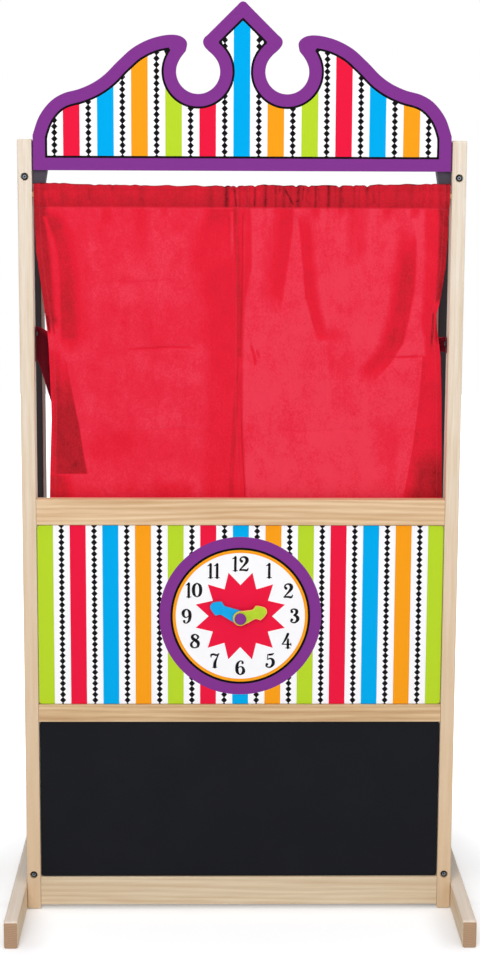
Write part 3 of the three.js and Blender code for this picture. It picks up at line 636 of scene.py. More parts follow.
# Heading of the smooth curve at both ends of each edge of a closed outline. At a round corner it is
# that of the circle through three points; long edges and sharp corners keep their own.
def edgeHeadings(ring, sharpTurn=math.radians(50), straightShare=3.0):
    edge = np.roll(ring, -1, axis=0) - ring
    length = np.linalg.norm(edge, axis=1)[:, None]
    unit = edge / length
    before, lengthBefore = np.roll(unit, 1, axis=0), np.roll(length, 1, axis=0)
    shared = before * length + unit * lengthBefore
    shared /= np.linalg.norm(shared, axis=1)[:, None]
    turn = np.arccos(np.clip((before * unit).sum(axis=1), -1, 1))[:, None]
    leaving = np.where(lengthBefore > straightShare * length, before, shared)
    arriving = np.where(length > straightShare * lengthBefore, unit, leaving)
    leaving = np.where((turn > sharpTurn) | (length > straightShare * lengthBefore), unit, leaving)
    arriving = np.where(turn > sharpTurn, before, arriving)
    return leaving, np.roll(arriving, -1, axis=0)


# Points at an even step along a smooth curve through a closed outline's corners: between two
# corners it is the cubic that leaves and arrives with their headings.
def resample(ring, step):
    leaving, arriving = edgeHeadings(ring)
    pieces = []
    for start, end, first, last in zip(ring, np.roll(ring, -1, axis=0), leaving, arriving):
        length = np.linalg.norm(end - start)
        count = max(1, int(round(length / step)))
        share = np.arange(count)[:, None] / count
        blend = share ** 2 * (3 - 2 * share)
        bow = share * (1 - share) * ((1 - share) * first - share * last) * length
        pieces.append(start + (end - start) * blend + bow)
    return np.concatenate(pieces)


# Moves a closed outline outwards by a bell of the height, where it lies far from the middle.
def swell(ring, bulge):
    forward = np.roll(ring, -1, axis=0) - np.roll(ring, 1, axis=0)
    following = np.roll(ring, -1, axis=0)
    way = np.sign((ring[:, 0] * following[:, 1] - following[:, 0] * ring[:, 1]).sum())
    outwards = way * np.stack([forward[:, 1], -forward[:, 0]], axis=1)
    outwards /= np.linalg.norm(outwards, axis=1)[:, None]
    weight = np.exp(-((ring[:, 1] - bulge["height"]) / bulge["reach"]) ** 2)
    weight = weight * smoothstep(bulge["from"], bulge["from"] + bulge["blend"], abs(ring[:, 0]))
    return ring + outwards * (bulge["most"] * weight)[:, None]


# Distance of each point from the nearest segment of a closed outline.
def outlineDistance(points, ring):
    start, along = ring, np.roll(ring, -1, axis=0) - ring
    length = (along ** 2).sum(axis=1)
    nearest = np.full(len(points), np.inf)
    for first in range(0, len(ring), 64):
        a, b, c = start[first:first + 64], along[first:first + 64], length[first:first + 64]
        offset = points[:, None, :] - a[None]
        share = np.clip((offset * b[None]).sum(axis=2) / c[None], 0, 1)
        gap = np.linalg.norm(offset - share[..., None] * b[None], axis=2)
        nearest = np.minimum(nearest, gap.min(axis=1))
    return nearest


# Whether each point is on the board, by counting the edges of all its outlines right of it.
def insideOf(points, rings):
    inside = np.zeros(len(points), dtype=bool)
    for ring in rings:
        for (ax, az), (bx, bz) in zip(ring, np.roll(ring, -1, axis=0)):
            if az != bz:
                crosses = (points[:, 1] < az) != (points[:, 1] < bz)
                inside ^= crosses & (points[:, 0] < ax + (points[:, 1] - az) * (bx - ax) / (bz - az))
    return inside


# Points along the line that halves each sharp corner, so that the border keeps its corner.
def cornerSeeds(ring, normals, settings, rings, sharpTurn=math.radians(50)):
    edge = np.roll(ring, -1, axis=0) - ring
    unit = edge / np.linalg.norm(edge, axis=1)[:, None]
    turn = np.arccos(np.clip((unit * np.roll(unit, 1, axis=0)).sum(axis=1), -1, 1))
    sharp = turn > sharpTurn
    depths = np.arange(settings["step"] / 3, settings["depths"][-1], settings["step"] / 3)
    reach = depths[None, :, None] / np.cos(turn[sharp] / 2)[:, None, None]
    points = (ring[sharp][:, None, :] + normals[sharp][:, None, :] * reach).reshape(-1, 2)
    wanted = np.tile(depths, int(sharp.sum()))
    return points[(outlineDistance(points, ring) > 0.98 * wanted) & insideOf(points, rings)]


# Points of a board's face: its outlines, lines at the border's depths, and an even field.
def boardPoints(rings, settings):
    ring = rings[0]
    forward = np.roll(ring, -1, axis=0) - np.roll(ring, 1, axis=0)
    normals = np.stack([-forward[:, 1], forward[:, 0]], axis=1)
    normals /= np.linalg.norm(normals, axis=1)[:, None]
    if not insideOf(ring[:1] + normals[:1] * settings["step"] * 0.1, rings)[0]:
        normals = -normals
    seeds = list(rings)
    for depth in settings["depths"]:
        moved = ring + normals * depth
        seeds.append(moved[(outlineDistance(moved, ring) > depth - 1e-5) & insideOf(moved, rings)])
    seeds.append(cornerSeeds(ring, normals, settings, rings))
    low, high = ring.min(axis=0), ring.max(axis=0)
    spacing = settings["step"] * 1.5
    across, up = np.meshgrid(np.arange(low[0], high[0], spacing), np.arange(low[1], high[1], spacing))
    field = np.stack([across.ravel(), up.ravel()], axis=1)
    away = outlineDistance(field, ring)
    clear = outlineDistance(field, rings[-1]) > spacing * 0.35
    for depth in (0.0, *settings["depths"]):
        clear &= abs(away - depth) > spacing * 0.35
    seeds.append(field[clear & insideOf(field, rings)])
    return np.concatenate(seeds)


# A flat board in place of a CAD one, with each point's distance from the outline stored.
def makeBoard(name, node, settings, material, body="stand"):
    rings = outlinesOf(node, settings["front"])
    for x, z in settings.get("leftOut", []):
        rings[0] = rings[0][np.hypot(abs(rings[0][:, 0]) - x, rings[0][:, 1] - z) > 0.001]
    rings = [resample(ring, settings["step"]) for ring in rings]
    if "bulge" in settings:
        rings[0] = swell(rings[0], settings["bulge"])
    points = boardPoints(rings, settings)
    edges, first = [], 0
    for ring in rings:
        edges += [(first + i, first + (i + 1) % len(ring)) for i in range(len(ring))]
        first += len(ring)
    flat, _, triangles, *_ = delaunay_2d_cdt([tuple(p) for p in points], edges, [], 1, 1e-7)
    flat = np.array([tuple(p) for p in flat])
    triangles = np.array([t for t in triangles if len(t) == 3])
    triangles = triangles[insideOf(flat[triangles].mean(axis=1), rings)]
    a, b, c = (flat[triangles[:, i]] for i in range(3))
    turn = (b[:, 0] - a[:, 0]) * (c[:, 1] - a[:, 1]) - (b[:, 1] - a[:, 1]) * (c[:, 0] - a[:, 0])
    triangles = np.where((turn > 0)[:, None], triangles, triangles[:, ::-1])   # seen from the front
    front = np.stack([flat[:, 0], np.full(len(flat), settings["front"]), flat[:, 1]], axis=1)
    back = front.copy()
    back[:, 1] = settings["back"]
    count = len(flat)
    pairs = {}
    for a, b, c in triangles.tolist():
        for start, end in ((a, b), (b, c), (c, a)):
            pairs[(start, end)] = True
    rim = np.array([pair for pair in pairs if (pair[1], pair[0]) not in pairs])
    sides = np.concatenate([
        np.stack([rim[:, 1], rim[:, 0], rim[:, 0] + count], axis=1),
        np.stack([rim[:, 1], rim[:, 0] + count, rim[:, 1] + count], axis=1),
    ])
    faces = np.concatenate([triangles, triangles[:, ::-1] + count, sides])
    piece = meshPiece(name, np.concatenate([front, back]), faces, material, body, smooth=False)
    setAttribute(piece, "fromEdge", np.tile(outlineDistance(flat, rings[0]), 2))
    soften = piece.modifiers.new("softEdge", "BEVEL")
    soften.width = settings["edge"]
    soften.segments = 2
    soften.limit_method = "ANGLE"
    soften.angle_limit = math.radians(60)
    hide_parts(node)
    return piece


pedimentSettings = {
    "front": -0.051, "back": -0.042, "border": 0.0212, "line": 0.0250, "step": 0.0035, "edge": 0.0007,
    "depths": (0.0106, 0.0212, 0.0250, 0.0292),
    "bulge": {"height": 1.497, "reach": 0.036, "from": 0.16, "blend": 0.03, "most": 0.005},   # shoulders
    "leftOut": [(0.0611, 1.5426), (0.0980, 1.5390)],   # where the bay beside the spire flares
}
handSettings = {
    "minute_hand": {"front": -0.0528, "back": -0.0498, "step": 0.0016, "edge": 0.0004, "rim": 0.0007,
                    "depths": (0.0007, 0.0018), "face": linear(3, 168, 236),
                    "rimColor": linear(70, 140, 190)},
    "hour_hand": {"front": -0.0576, "back": -0.0546, "step": 0.0016, "edge": 0.0004, "rim": 0.0013,
                  "depths": (0.0013, 0.0024), "face": linear(184, 214, 44),
                  "rimColor": linear(238, 198, 96)},
}


# Stripes in the middle, then a thin line and a wide border, by the distance from the outline.
def makePediment(settings):
    board = Finish("pedimentPrint", **{"Specular IOR Level": printSettings["gloss"]})
    fromEdge = board.attribute("fromEdge")
    color = stripes(board, pedimentPrint)
    color = board.mix(fromEdge < settings["line"], color, printSettings["black"])
    color = board.mix(fromEdge < settings["border"], color, printSettings["purple"])
    color = board.mix(facing(board, 1, 0.5), boardBack(board), color)
    coated(board, color)
    makeBoard("pedimentBoard", "pediment", settings, board.material)


# A clock hand with a coloured rim along its outline.
def makeHand(name, node, settings):
    hand = Finish(name + "Plastic", **{"Specular IOR Level": 0.2})
    cloud = hand.noise(hand.place(), 90.0, 3.0, 0.5)
    grain = hand.noise(hand.place(), 900.0, 2.0, 0.5)
    face = hand.mix(cloud.ramp(0.3, 0.8), settings["face"], tuple(0.9 * c for c in settings["face"]))
    blur = 0.0003
    inRim = hand.attribute("fromEdge").ramp(settings["rim"] + blur, settings["rim"] - blur)
    hand.set(color=hand.mix(inRim, face, settings["rimColor"]), roughness=0.4,
             normal=hand.bump(grain, 0.15, 0.00003))
    makeBoard(name, node, settings, hand.material, node)


makePediment(pedimentSettings)
makeHand("minuteHandPlate", "minute_hand", handSettings["minute_hand"])
makeHand("hourHandPlate", "hour_hand", handSettings["hour_hand"])
print("pediment and hands are ready")


# Numbers of the dial: strokes whose width changes along them, in shares of a number's height

digitStrokes = {
    "0": [[(0.31, 0.97, 0.025), (0.12, 0.8, 0.07), (0.07, 0.5, 0.085), (0.12, 0.2, 0.07),
          (0.31, 0.03, 0.025), (0.5, 0.2, 0.07), (0.55, 0.5, 0.085), (0.5, 0.8, 0.07),
          (0.31, 0.97, 0.025)]],
    "1": [[(0.19, 0.02, 0.066), (0.19, 0.5, 0.066), (0.2, 0.93, 0.062)], [(0.0, 0.83, 0.018),
          (0.09, 0.87, 0.035), (0.2, 0.97, 0.045)], [(0.04, 0.02, 0.02), (0.34, 0.02, 0.02)]],
    "2": [[(0.17, 0.66, 0.075), (0.09, 0.76, 0.05), (0.14, 0.9, 0.035), (0.32, 0.96, 0.045),
          (0.5, 0.86, 0.08), (0.52, 0.66, 0.085), (0.36, 0.42, 0.055), (0.14, 0.18, 0.035),
          (0.06, 0.05, 0.04)], [(0.06, 0.06, 0.045), (0.3, 0.07, 0.05), (0.52, 0.05, 0.055),
          (0.62, 0.2, 0.018)]],
    "3": [[(0.16, 0.78, 0.075), (0.12, 0.9, 0.035), (0.3, 0.965, 0.035), (0.48, 0.86, 0.075),
          (0.46, 0.66, 0.07), (0.28, 0.54, 0.025)], [(0.28, 0.54, 0.025), (0.5, 0.44, 0.075),
          (0.56, 0.26, 0.085), (0.42, 0.06, 0.05), (0.24, 0.035, 0.035), (0.1, 0.12, 0.035),
          (0.16, 0.22, 0.075)]],
    "4": [[(0.42, 0.98, 0.07), (0.28, 0.66, 0.06), (0.14, 0.42, 0.04), (0.03, 0.28, 0.025)],
          [(0.42, 0.02, 0.065), (0.42, 0.4, 0.065), (0.43, 0.62, 0.05)], [(0.03, 0.28, 0.028),
          (0.35, 0.27, 0.028), (0.62, 0.27, 0.035)], [(0.62, 0.36, 0.02), (0.63, 0.18, 0.02)],
          [(0.27, 0.02, 0.02), (0.58, 0.02, 0.02)]],
    "5": [[(0.18, 0.9, 0.03), (0.34, 0.9, 0.055), (0.48, 0.93, 0.05), (0.58, 0.99, 0.02)],
          [(0.18, 0.9, 0.025), (0.16, 0.56, 0.022)], [(0.16, 0.56, 0.025), (0.34, 0.63, 0.04),
          (0.52, 0.52, 0.075), (0.54, 0.26, 0.085), (0.38, 0.05, 0.05), (0.2, 0.03, 0.035),
          (0.07, 0.11, 0.035), (0.12, 0.22, 0.075)]],
    "6": [[(0.47, 0.84, 0.065), (0.46, 0.94, 0.035), (0.3, 0.97, 0.03), (0.14, 0.8, 0.065),
          (0.08, 0.5, 0.085), (0.12, 0.2, 0.075), (0.3, 0.03, 0.03), (0.5, 0.16, 0.075),
          (0.54, 0.34, 0.08), (0.46, 0.53, 0.05), (0.3, 0.58, 0.025), (0.14, 0.46, 0.03)]],
    "7": [[(0.05, 0.72, 0.02), (0.07, 0.88, 0.05), (0.24, 0.92, 0.055), (0.42, 0.86, 0.05),
          (0.58, 0.96, 0.03)], [(0.57, 0.95, 0.025), (0.44, 0.66, 0.04), (0.32, 0.36, 0.075),
          (0.3, 0.05, 0.085)], [(0.16, 0.02, 0.018), (0.44, 0.02, 0.018)]],
    "8": [[(0.5, 0.84, 0.045), (0.36, 0.96, 0.03), (0.16, 0.86, 0.065), (0.18, 0.68, 0.08),
          (0.36, 0.55, 0.085), (0.54, 0.38, 0.085), (0.52, 0.14, 0.06), (0.32, 0.03, 0.03),
          (0.12, 0.12, 0.06), (0.08, 0.3, 0.065), (0.22, 0.48, 0.035), (0.44, 0.62, 0.03),
          (0.54, 0.76, 0.055), (0.5, 0.88, 0.045)]],
}
digitWidths = {"0": 0.62, "1": 0.34, "2": 0.64, "3": 0.65, "4": 0.66, "5": 0.62, "6": 0.62, "7": 0.60,
               "8": 0.65, "9": 0.62}


# Catmull-Rom curve through a stroke's points; the half width is smoothed in the same way.
def smoothStroke(stroke, perSpan=7):
    knots = np.array(stroke)
    knots = np.concatenate([2 * knots[:1] - knots[1:2], knots, 2 * knots[-1:] - knots[-2:-1]])
    share = np.linspace(0, 1, perSpan, endpoint=False)[:, None]
    spans = []
    for a, b, c, d in zip(knots, knots[1:], knots[2:], knots[3:]):
        spans.append(0.5 * (2 * b + (c - a) * share + (2 * a - 5 * b + 4 * c - d) * share ** 2
                            + (3 * b - a - 3 * c + d) * share ** 3))
    return np.concatenate(spans + [knots[-2:-1]])


# Left and right rails of a stroke, with a round cap at both ends, as (count, 2) arrays.
def ribbon(stroke, weight, capSteps=5):
    path = smoothStroke(stroke)
    heading = np.gradient(path[:, :2], axis=0)
    heading /= np.linalg.norm(heading, axis=1)[:, None]
    side = np.stack([-heading[:, 1], heading[:, 0]], axis=1)
    half = path[:, 2:3] * weight
    rails = [path[:, :2] + side * half, path[:, :2] - side * half]
    angle = np.linspace(0.12, 1, capSteps)[:, None] * math.pi / 2
    onwards, sideways = np.cos(angle), np.sin(angle)
    whole = []
    for way, rail in zip((1, -1), rails):
        start = path[0, :2] + half[0] * (way * side[0] * sideways - heading[0] * onwards)
        end = path[-1, :2] + half[-1] * (way * side[-1] * sideways + heading[-1] * onwards)
        whole.append(np.concatenate([start, rail, end[::-1]]))
    return whole


# The rails of all strokes of one digit, from its lower left corner, in shares of the number's
# height. A nine is a six turned by half.
def digitRails(digit, weight):
    for stroke in digitStrokes["6" if digit == "9" else digit]:
        rails = np.stack(ribbon(stroke, weight), axis=1)
        yield np.array([digitWidths["9"], 1.0]) - rails if digit == "9" else rails


# Flat strokes just in front of the printed panel, each facing the front.
def makeNumbers(dial, front):
    corners, faces, count = [], [], 0
    for hour in range(1, 13):
        angle = math.radians(90 - 30 * hour)
        middle = np.array([math.cos(angle), math.sin(angle)]) * dial["numberRadius"]
        middle = middle + dial["numberShift"].get(hour, (0, 0)) + np.array([0, dial["centre"]])
        text = str(hour)
        width = sum(digitWidths[d] for d in text) + dial["numberGap"] * (len(text) - 1)
        start = -width / 2
        for digit in text:
            for rails in digitRails(digit, dial["numberWeight"]):
                flat = ((rails + np.array([start, -0.5])) * dial["numberHeight"] + middle).reshape(-1, 2)
                depth = np.full(len(flat), front - dial["numberLift"])
                corners.append(np.stack([flat[:, 0], depth, flat[:, 1]], axis=1))
                strip = gridFaces(len(rails), 2) + count
                faces.append(strip[:, ::-1])
                count += len(flat)
            start += digitWidths[digit] + dial["numberGap"]
    ink = Finish("numberInk", **{"Specular IOR Level": printSettings["gloss"]})
    place = ink.place()
    cloud = ink.noise(place, 60.0, 2.0, 0.5)
    ink.set(color=ink.mix(cloud, printSettings["black"], linear(30, 26, 30)), roughness=0.45,
            normal=ink.bump(ink.noise(place, 700.0, 2.0, 0.5), 0.15, 0.00004))
    piece = meshPiece("dialNumbers", np.concatenate(corners), np.concatenate(faces), ink.material,
                      smooth=False)


makeNumbers(dialSettings, -0.048)
print("dial numbers are ready")


# Curtains

clothSettings = {
    "hem": 0.7335, "seam": 1.277, "pocketTop": 1.3150, "rowStep": 0.0021, "columnStep": 0.0014,
    "rodHeight": 1.298, "rodDepth": -0.041, "rodClear": 0.0078, "rodReach": 0.006, "rodBlend": 0.004,
    "rodValley": (-0.0006, 0.002), "layerGap": 0.0009,
    # the pocket's section: its rows, the reach and roundness of its bells, and heights near its ends
    "pocketRows": 24, "pocketBells": (0.0205, 0.0170), "pocketRound": 2.4, "firstRow": 0.002,
    "lastRow": 0.0025, "topRows": (0.0015, 0.0008, 0.0003), "backSeam": -0.0010,
    "ruffleLean": 0.0056, "ruffleWave": 0.0016, "pleatDepth": 0.0011, "valleyDepth": 0.0012,
    "pinchDepth": 0.0030, "pinchEnds": (-0.12, 0.15), "seamBlend": 0.02, "seamStep": 0.0006,
    "edgeWaves": (0.0005, 0.0003), "edgeTurns": (0.55, 133), "edgeSeed": 2,
    "sagHeights": (1.25, 0.79), "slackHeights": (1.27, 1.15), "looseReach": 0.03, "looseStart": 0.002,
    "gatherReach": 0.055, "gatherDepth": 0.0021, "gatherUneven": (0.6, 190),
    "creaseHalf": 0.0028, "creaseWander": (0.002, 40), "creaseFade": 0.03,
    "waveDepth": 0.0011, "waveTurns": (37, 5, 21, 3), "rippleDepth": 0.0004,
    "rippleTurns": (150, 11, 90, 13), "overlap": 0.0012, "overlapReach": (0.035, 0.012),
    # how far the cloth may come forward over the middle rail, and go back before the tie-backs
    "railTop": 0.7635, "railRise": (0.0115, 0.0865), "railLimit": -0.0305, "frontLimit": -0.056,
    "tieHeights": (0.84, 0.90), "tiePlaces": (0.29, 0.315), "tieLimit": -0.0225, "backLimit": -0.012,
    # painted tones: 0 is one layer in the light, 1 many layers or a deep fold in shade
    "headerTone": 0.57, "headerStreak": 0.32, "headerBlend": 0.0006, "headerShare": 0.35,
    "streakTone": 0.13, "streakReach": 0.030, "streakMost": 1.2, "edgeTone": 0.25,
    "edgeReach": (0.0025, 0.0008), "creaseToneHalf": 0.0017,
    "seamLine": 0.0012, "hemLine": 0.012, "sideLine": 0.009,   # sewn lines, from the edges
    "drawn": 0.24, "width": 0.3592,                            # how far a panel draws, and its width
}
pleatSettings = {
    "pitches": (0.0128, 0.0231), "shares": (0.6, 0.5), "follow": 0.6,
    "wanderPitches": (0.083, 0.037), "wanders": (1.7, 1.1),
}


# Place across at each height, on a route of (across, height) points from the top down.
def along(route, z):
    points = np.array(route[::-1])
    return np.interp(z, points[:, 1], points[:, 0])


# Places of a fold's two sides at each height; the right one is a route or a plain width.
def foldSides(z, fold):
    left = along(fold["left"], z)
    right = fold["right"]
    return left, along(right, z) if isinstance(right, list) else left + right


# 1 along a fold and 0 past its ends, eased over the two lengths in its fade.
def foldEnds(z, fold):
    top, low = fold["left"][0][1], fold["left"][-1][1]
    upper, lower = fold["fade"]
    return smoothstep(top + 0.0005, top - upper, z) * smoothstep(low - 0.0005, low + lower, z)


# 1 between the two sides of a fold, softened past each side and at both ends.
def foldWeight(x, z, fold):
    left, right = foldSides(z, fold)
    softLeft, softRight = fold["soft"]
    weight = smoothstep(left - softLeft, left, x) * smoothstep(right + softRight, right, x)
    return weight * foldEnds(z, fold) * fold.get("strength", 1)


# Height of a fold towards the viewer: a bell between its sides.
def foldRise(x, z, fold):
    left, right = foldSides(z, fold)
    half = (right - left) / 2 + sum(fold["soft"]) / 3
    return fold["deep"] * np.exp(-((x - (left + right) / 2) / half) ** 2) * foldEnds(z, fold)


# Bell across a short line from (startX, startZ) down to (endX, endZ), faded at both ends.
def pinchWeight(x, z, pinch, settings):
    startX, startZ, endX, endZ, half, _ = pinch
    share = (startZ - z) / (startZ - endZ)
    middle = startX + (endX - startX) * np.clip(share, 0, 1)
    none, full = settings["pinchEnds"]
    ends = smoothstep(none, full, share) * smoothstep(1 - none, 1 - full, share)
    return np.exp(-((x - middle) / half) ** 2) * ends


# Bell across a nearly level line that wanders a little, faded at both ends.
def creaseWeight(x, z, crease, half, settings):
    height, start, end = crease[:3]
    fade, (wander, turns) = settings["creaseFade"], settings["creaseWander"]
    ends = smoothstep(start, start + fade, x) * smoothstep(end, end - fade, x)
    return np.exp(-((z - height - wander * np.sin(x * turns)) / half) ** 2) * ends


# Uneven pleats: two sines whose phase wanders with two slower ones.
def gathers(x, seed, settings=pleatSettings):
    (slow, slower), (most, least) = settings["wanderPitches"], settings["wanders"]
    wander = most * np.sin(2 * np.pi * x / slow + seed) + least * np.sin(2 * np.pi * x / slower + 2 * seed)
    (finePitch, widePitch), (fineShare, wideShare) = settings["pitches"], settings["shares"]
    fine = np.sin(2 * np.pi * x / finePitch + wander)
    wide = np.sin(2 * np.pi * x / widePitch + settings["follow"] * wander + seed)
    return fineShare * fine + wideShare * wide


# Each fold's tone is painted between its two sides: painted shade in valleys and turned layers, painted
# highlights on ridges. Pinches and creases carry painted shade as their last number.
leftPanel = {
    "name": "leftCurtainCloth", "node": "left_curtain", "body": "left_drape",
    "joint": "left_curtain_draw", "tone": 0.12, "seed": 0.4, "lean": 0.0185, "anchor": -0.0008,
    "flat": (0.356, 0.62),
    "outer": [(-0.3605, 1.321), (-0.36, 1.27), (-0.3575, 1.2), (-0.349, 1.133), (-0.345, 1.0975),
              (-0.3412, 1.066), (-0.339, 1.04), (-0.3372, 0.986), (-0.3358, 0.93), (-0.3355, 0.903),
              (-0.3372, 0.862), (-0.339, 0.82), (-0.3405, 0.764), (-0.341, 0.733)],
    "inner": [(0.0013, 1.321), (0.0014, 1.278), (0.0002, 1.221), (-0.0001, 1.116), (-0.0008, 1.045),
              (-0.0008, 0.938), (0.0012, 0.866), (0.0038, 0.812), (0.007, 0.765), (0.0088, 0.733)],
    "top": [(-0.36, 1.3182), (-0.315, 1.3184), (-0.272, 1.3165), (-0.16, 1.315), (-0.073, 1.3146),
            (0.004, 1.3149)],
    "folds": [
        {"left": [(-0.3642, 1.316), (-0.3641, 1.266), (-0.359, 1.199), (-0.3504, 1.133), (-0.3463, 1.092),
                  (-0.3417, 1.062)],
         "right": [(-0.3445, 1.305), (-0.3451, 1.266), (-0.3388, 1.2), (-0.3349, 1.146), (-0.3323, 1.092),
                   (-0.3261, 1.065)],
         "soft": (0.0027, 0.012), "fade": (0, 0.02), "tone": 0.76},
        {"left": [(-0.343, 1.262), (-0.333, 1.225), (-0.324, 1.173), (-0.3225, 1.119), (-0.3235, 1.076)],
         "right": 0.0052, "soft": (0.0053, 0.0063), "fade": (0.004, 0.03), "tone": 0.24, "deep": 0.0031},
        {"left": [(-0.3053, 1.263), (-0.3, 1.185), (-0.2981, 1.115), (-0.3001, 1.009)],
         "right": 0.021, "soft": (0.0105, 0.0237), "fade": (0.03, 0.05), "tone": 0.22},
        {"left": [(-0.34, 1.276), (-0.333, 1.25), (-0.3225, 1.22), (-0.3165, 1.189), (-0.3138, 1.15),
                  (-0.3134, 1.107), (-0.3135, 1.055), (-0.3115, 1.016)],
         "right": 0.011, "soft": (0.006, 0.026), "fade": (0.025, 0.05), "tone": 0.57, "deep": -0.0025},
        {"left": [(-0.1778, 1.274), (-0.1784, 1.16)],
         "right": 0.0053, "soft": (0.0185, 0.0185), "fade": (0, 0.07), "tone": 0.3, "deep": -0.0011,
         "strength": 0.8},
        {"left": [(-0.2376, 1.275), (-0.2379, 1.243)],
         "right": 0.0035, "soft": (0.0105, 0.0105), "fade": (0, 0.03), "tone": 0.32, "deep": -0.0008},
        {"left": [(-0.1354, 1.275), (-0.1372, 1.252)],
         "right": 0.0026, "soft": (0.008, 0.008), "fade": (0, 0.02), "tone": 0.26, "deep": -0.0006},
        {"left": [(-0.0419, 1.274), (-0.0552, 1.24), (-0.066, 1.2), (-0.0577, 1.147), (-0.0443, 1.093),
                  (-0.0413, 1.039), (-0.0464, 0.889), (-0.044, 0.764)],
         "right": 0.07, "soft": (0.035, 0.0027), "fade": (0, 0), "tone": 0.32},
        {"left": [(-0.0522, 1.273), (-0.0573, 1.245), (-0.0642, 1.209)],
         "right": 0.0245, "soft": (0.0105, 0.021), "fade": (0, 0.05), "tone": 0.42, "deep": -0.0013},
        {"left": [(-0.0185, 1.271), (-0.0181, 1.174)],
         "right": 0.0028, "soft": (0.0042, 0.0042), "fade": (0.003, 0.05), "tone": 0.08, "deep": 0.0013},
        {"left": [(-0.0133, 1.275), (-0.0084, 1.174), (-0.0056, 1.066), (-0.0052, 1), (-0.0129, 0.903),
                  (-0.0191, 0.792), (-0.019, 0.763)],
         "right": 0.0042, "soft": (0.0042, 0.0042), "fade": (0, 0), "tone": 0.54, "deep": -0.0018},
        {"left": [(-0.251, 0.893), (-0.2567, 0.847), (-0.2443, 0.8)],
         "right": 0.07, "soft": (0.0315, 0.0368), "fade": (0.035, 0.045), "tone": 0.27, "deep": -0.001,
         "strength": 0.8},
        {"left": [(-0.1386, 0.797), (-0.1422, 0.762)],
         "right": 0.0455, "soft": (0.021, 0.021), "fade": (0.02, 0), "tone": 0.25},
        {"left": [(-0.3371, 1.034), (-0.3362, 0.93), (-0.336, 0.865), (-0.3405, 0.764)],
         "right": 0.0123, "soft": (0.0014, 0.0105), "fade": (0.02, 0), "tone": 0.42},
        {"left": [(-0.3201, 1.037), (-0.322, 0.937), (-0.3234, 0.865), (-0.3219, 0.805)],
         "right": [(-0.3174, 1.037), (-0.3084, 1.005), (-0.2981, 0.944), (-0.2875, 0.889), (-0.2795, 0.833),
                   (-0.2742, 0.805)],
         "soft": (0.015, 0.0018), "fade": (0.12, 0), "tone": 0.78, "deep": -0.0008},
        {"left": [(-0.3434, 0.804), (-0.3435, 0.762)],
         "right": [(-0.3237, 0.804), (-0.313, 0.762)],
         "soft": (0.0027, 0.0237), "fade": (0.004, 0), "tone": 0.56},
        {"left": [(-0.3436, 1.096), (-0.3397, 1.076), (-0.3374, 1.052)],
         "right": 0.0018, "soft": (0.0027, 0.0027), "fade": (0.01, 0.012), "tone": 0.86, "deep": -0.002},
        {"left": [(-0.3358, 1.094), (-0.3319, 1.071), (-0.3279, 1.048)],
         "right": 0.0014, "soft": (0.0027, 0.0027), "fade": (0.01, 0.015), "tone": 0.66, "deep": -0.001},
    ],
    "pinches": [
        (-0.0275, 1.3005, -0.028, 1.2764, 0.001, 0.92), (-0.0139, 1.3108, -0.0096, 1.2748, 0.0014, 1),
        (-0.0185, 1.3091, -0.0184, 1.2799, 0.0021, 0.42),
        (-0.2646, 1.3081, -0.2639, 1.2876, 0.0021, 0.74), (-0.1749, 1.3102, -0.1741, 1.281, 0.0039, 0.7),
        (-0.3388, 1.3044, -0.3357, 1.277, 0.0026, 0.44), (-0.2249, 1.3151, -0.2232, 1.3031, 0.0018, 0.72),
    ],
    "notches": [
        (-0.315, 0.0007, 0.0035), (-0.2546, 0.0009, 0.0053), (-0.2235, 0.0012, 0.0035),
        (-0.1751, 0.0007, 0.0053), (-0.1094, 0.0007, 0.007), (-0.0626, 0.0005, 0.007),
        (-0.0306, 0.0019, 0.0028), (-0.0194, 0.0012, 0.0021), (-0.0098, 0.0026, 0.0024),
    ],
    "creases": [(1.031, -0.205, -0.075, 0.0011, 0.34), (0.884, -0.21, -0.06, 0.0005, 0.06),
                (1.15, -0.24, -0.09, 0.0004, 0.08)],
    "gatherShare": [(-0.36, 0.45), (-0.33, 0.3), (-0.3, 0.16), (-0.2, 0.1), (-0.1, 0.14), (-0.055, 0.35),
                    (-0.03, 0.9), (0, 0.6)],
}
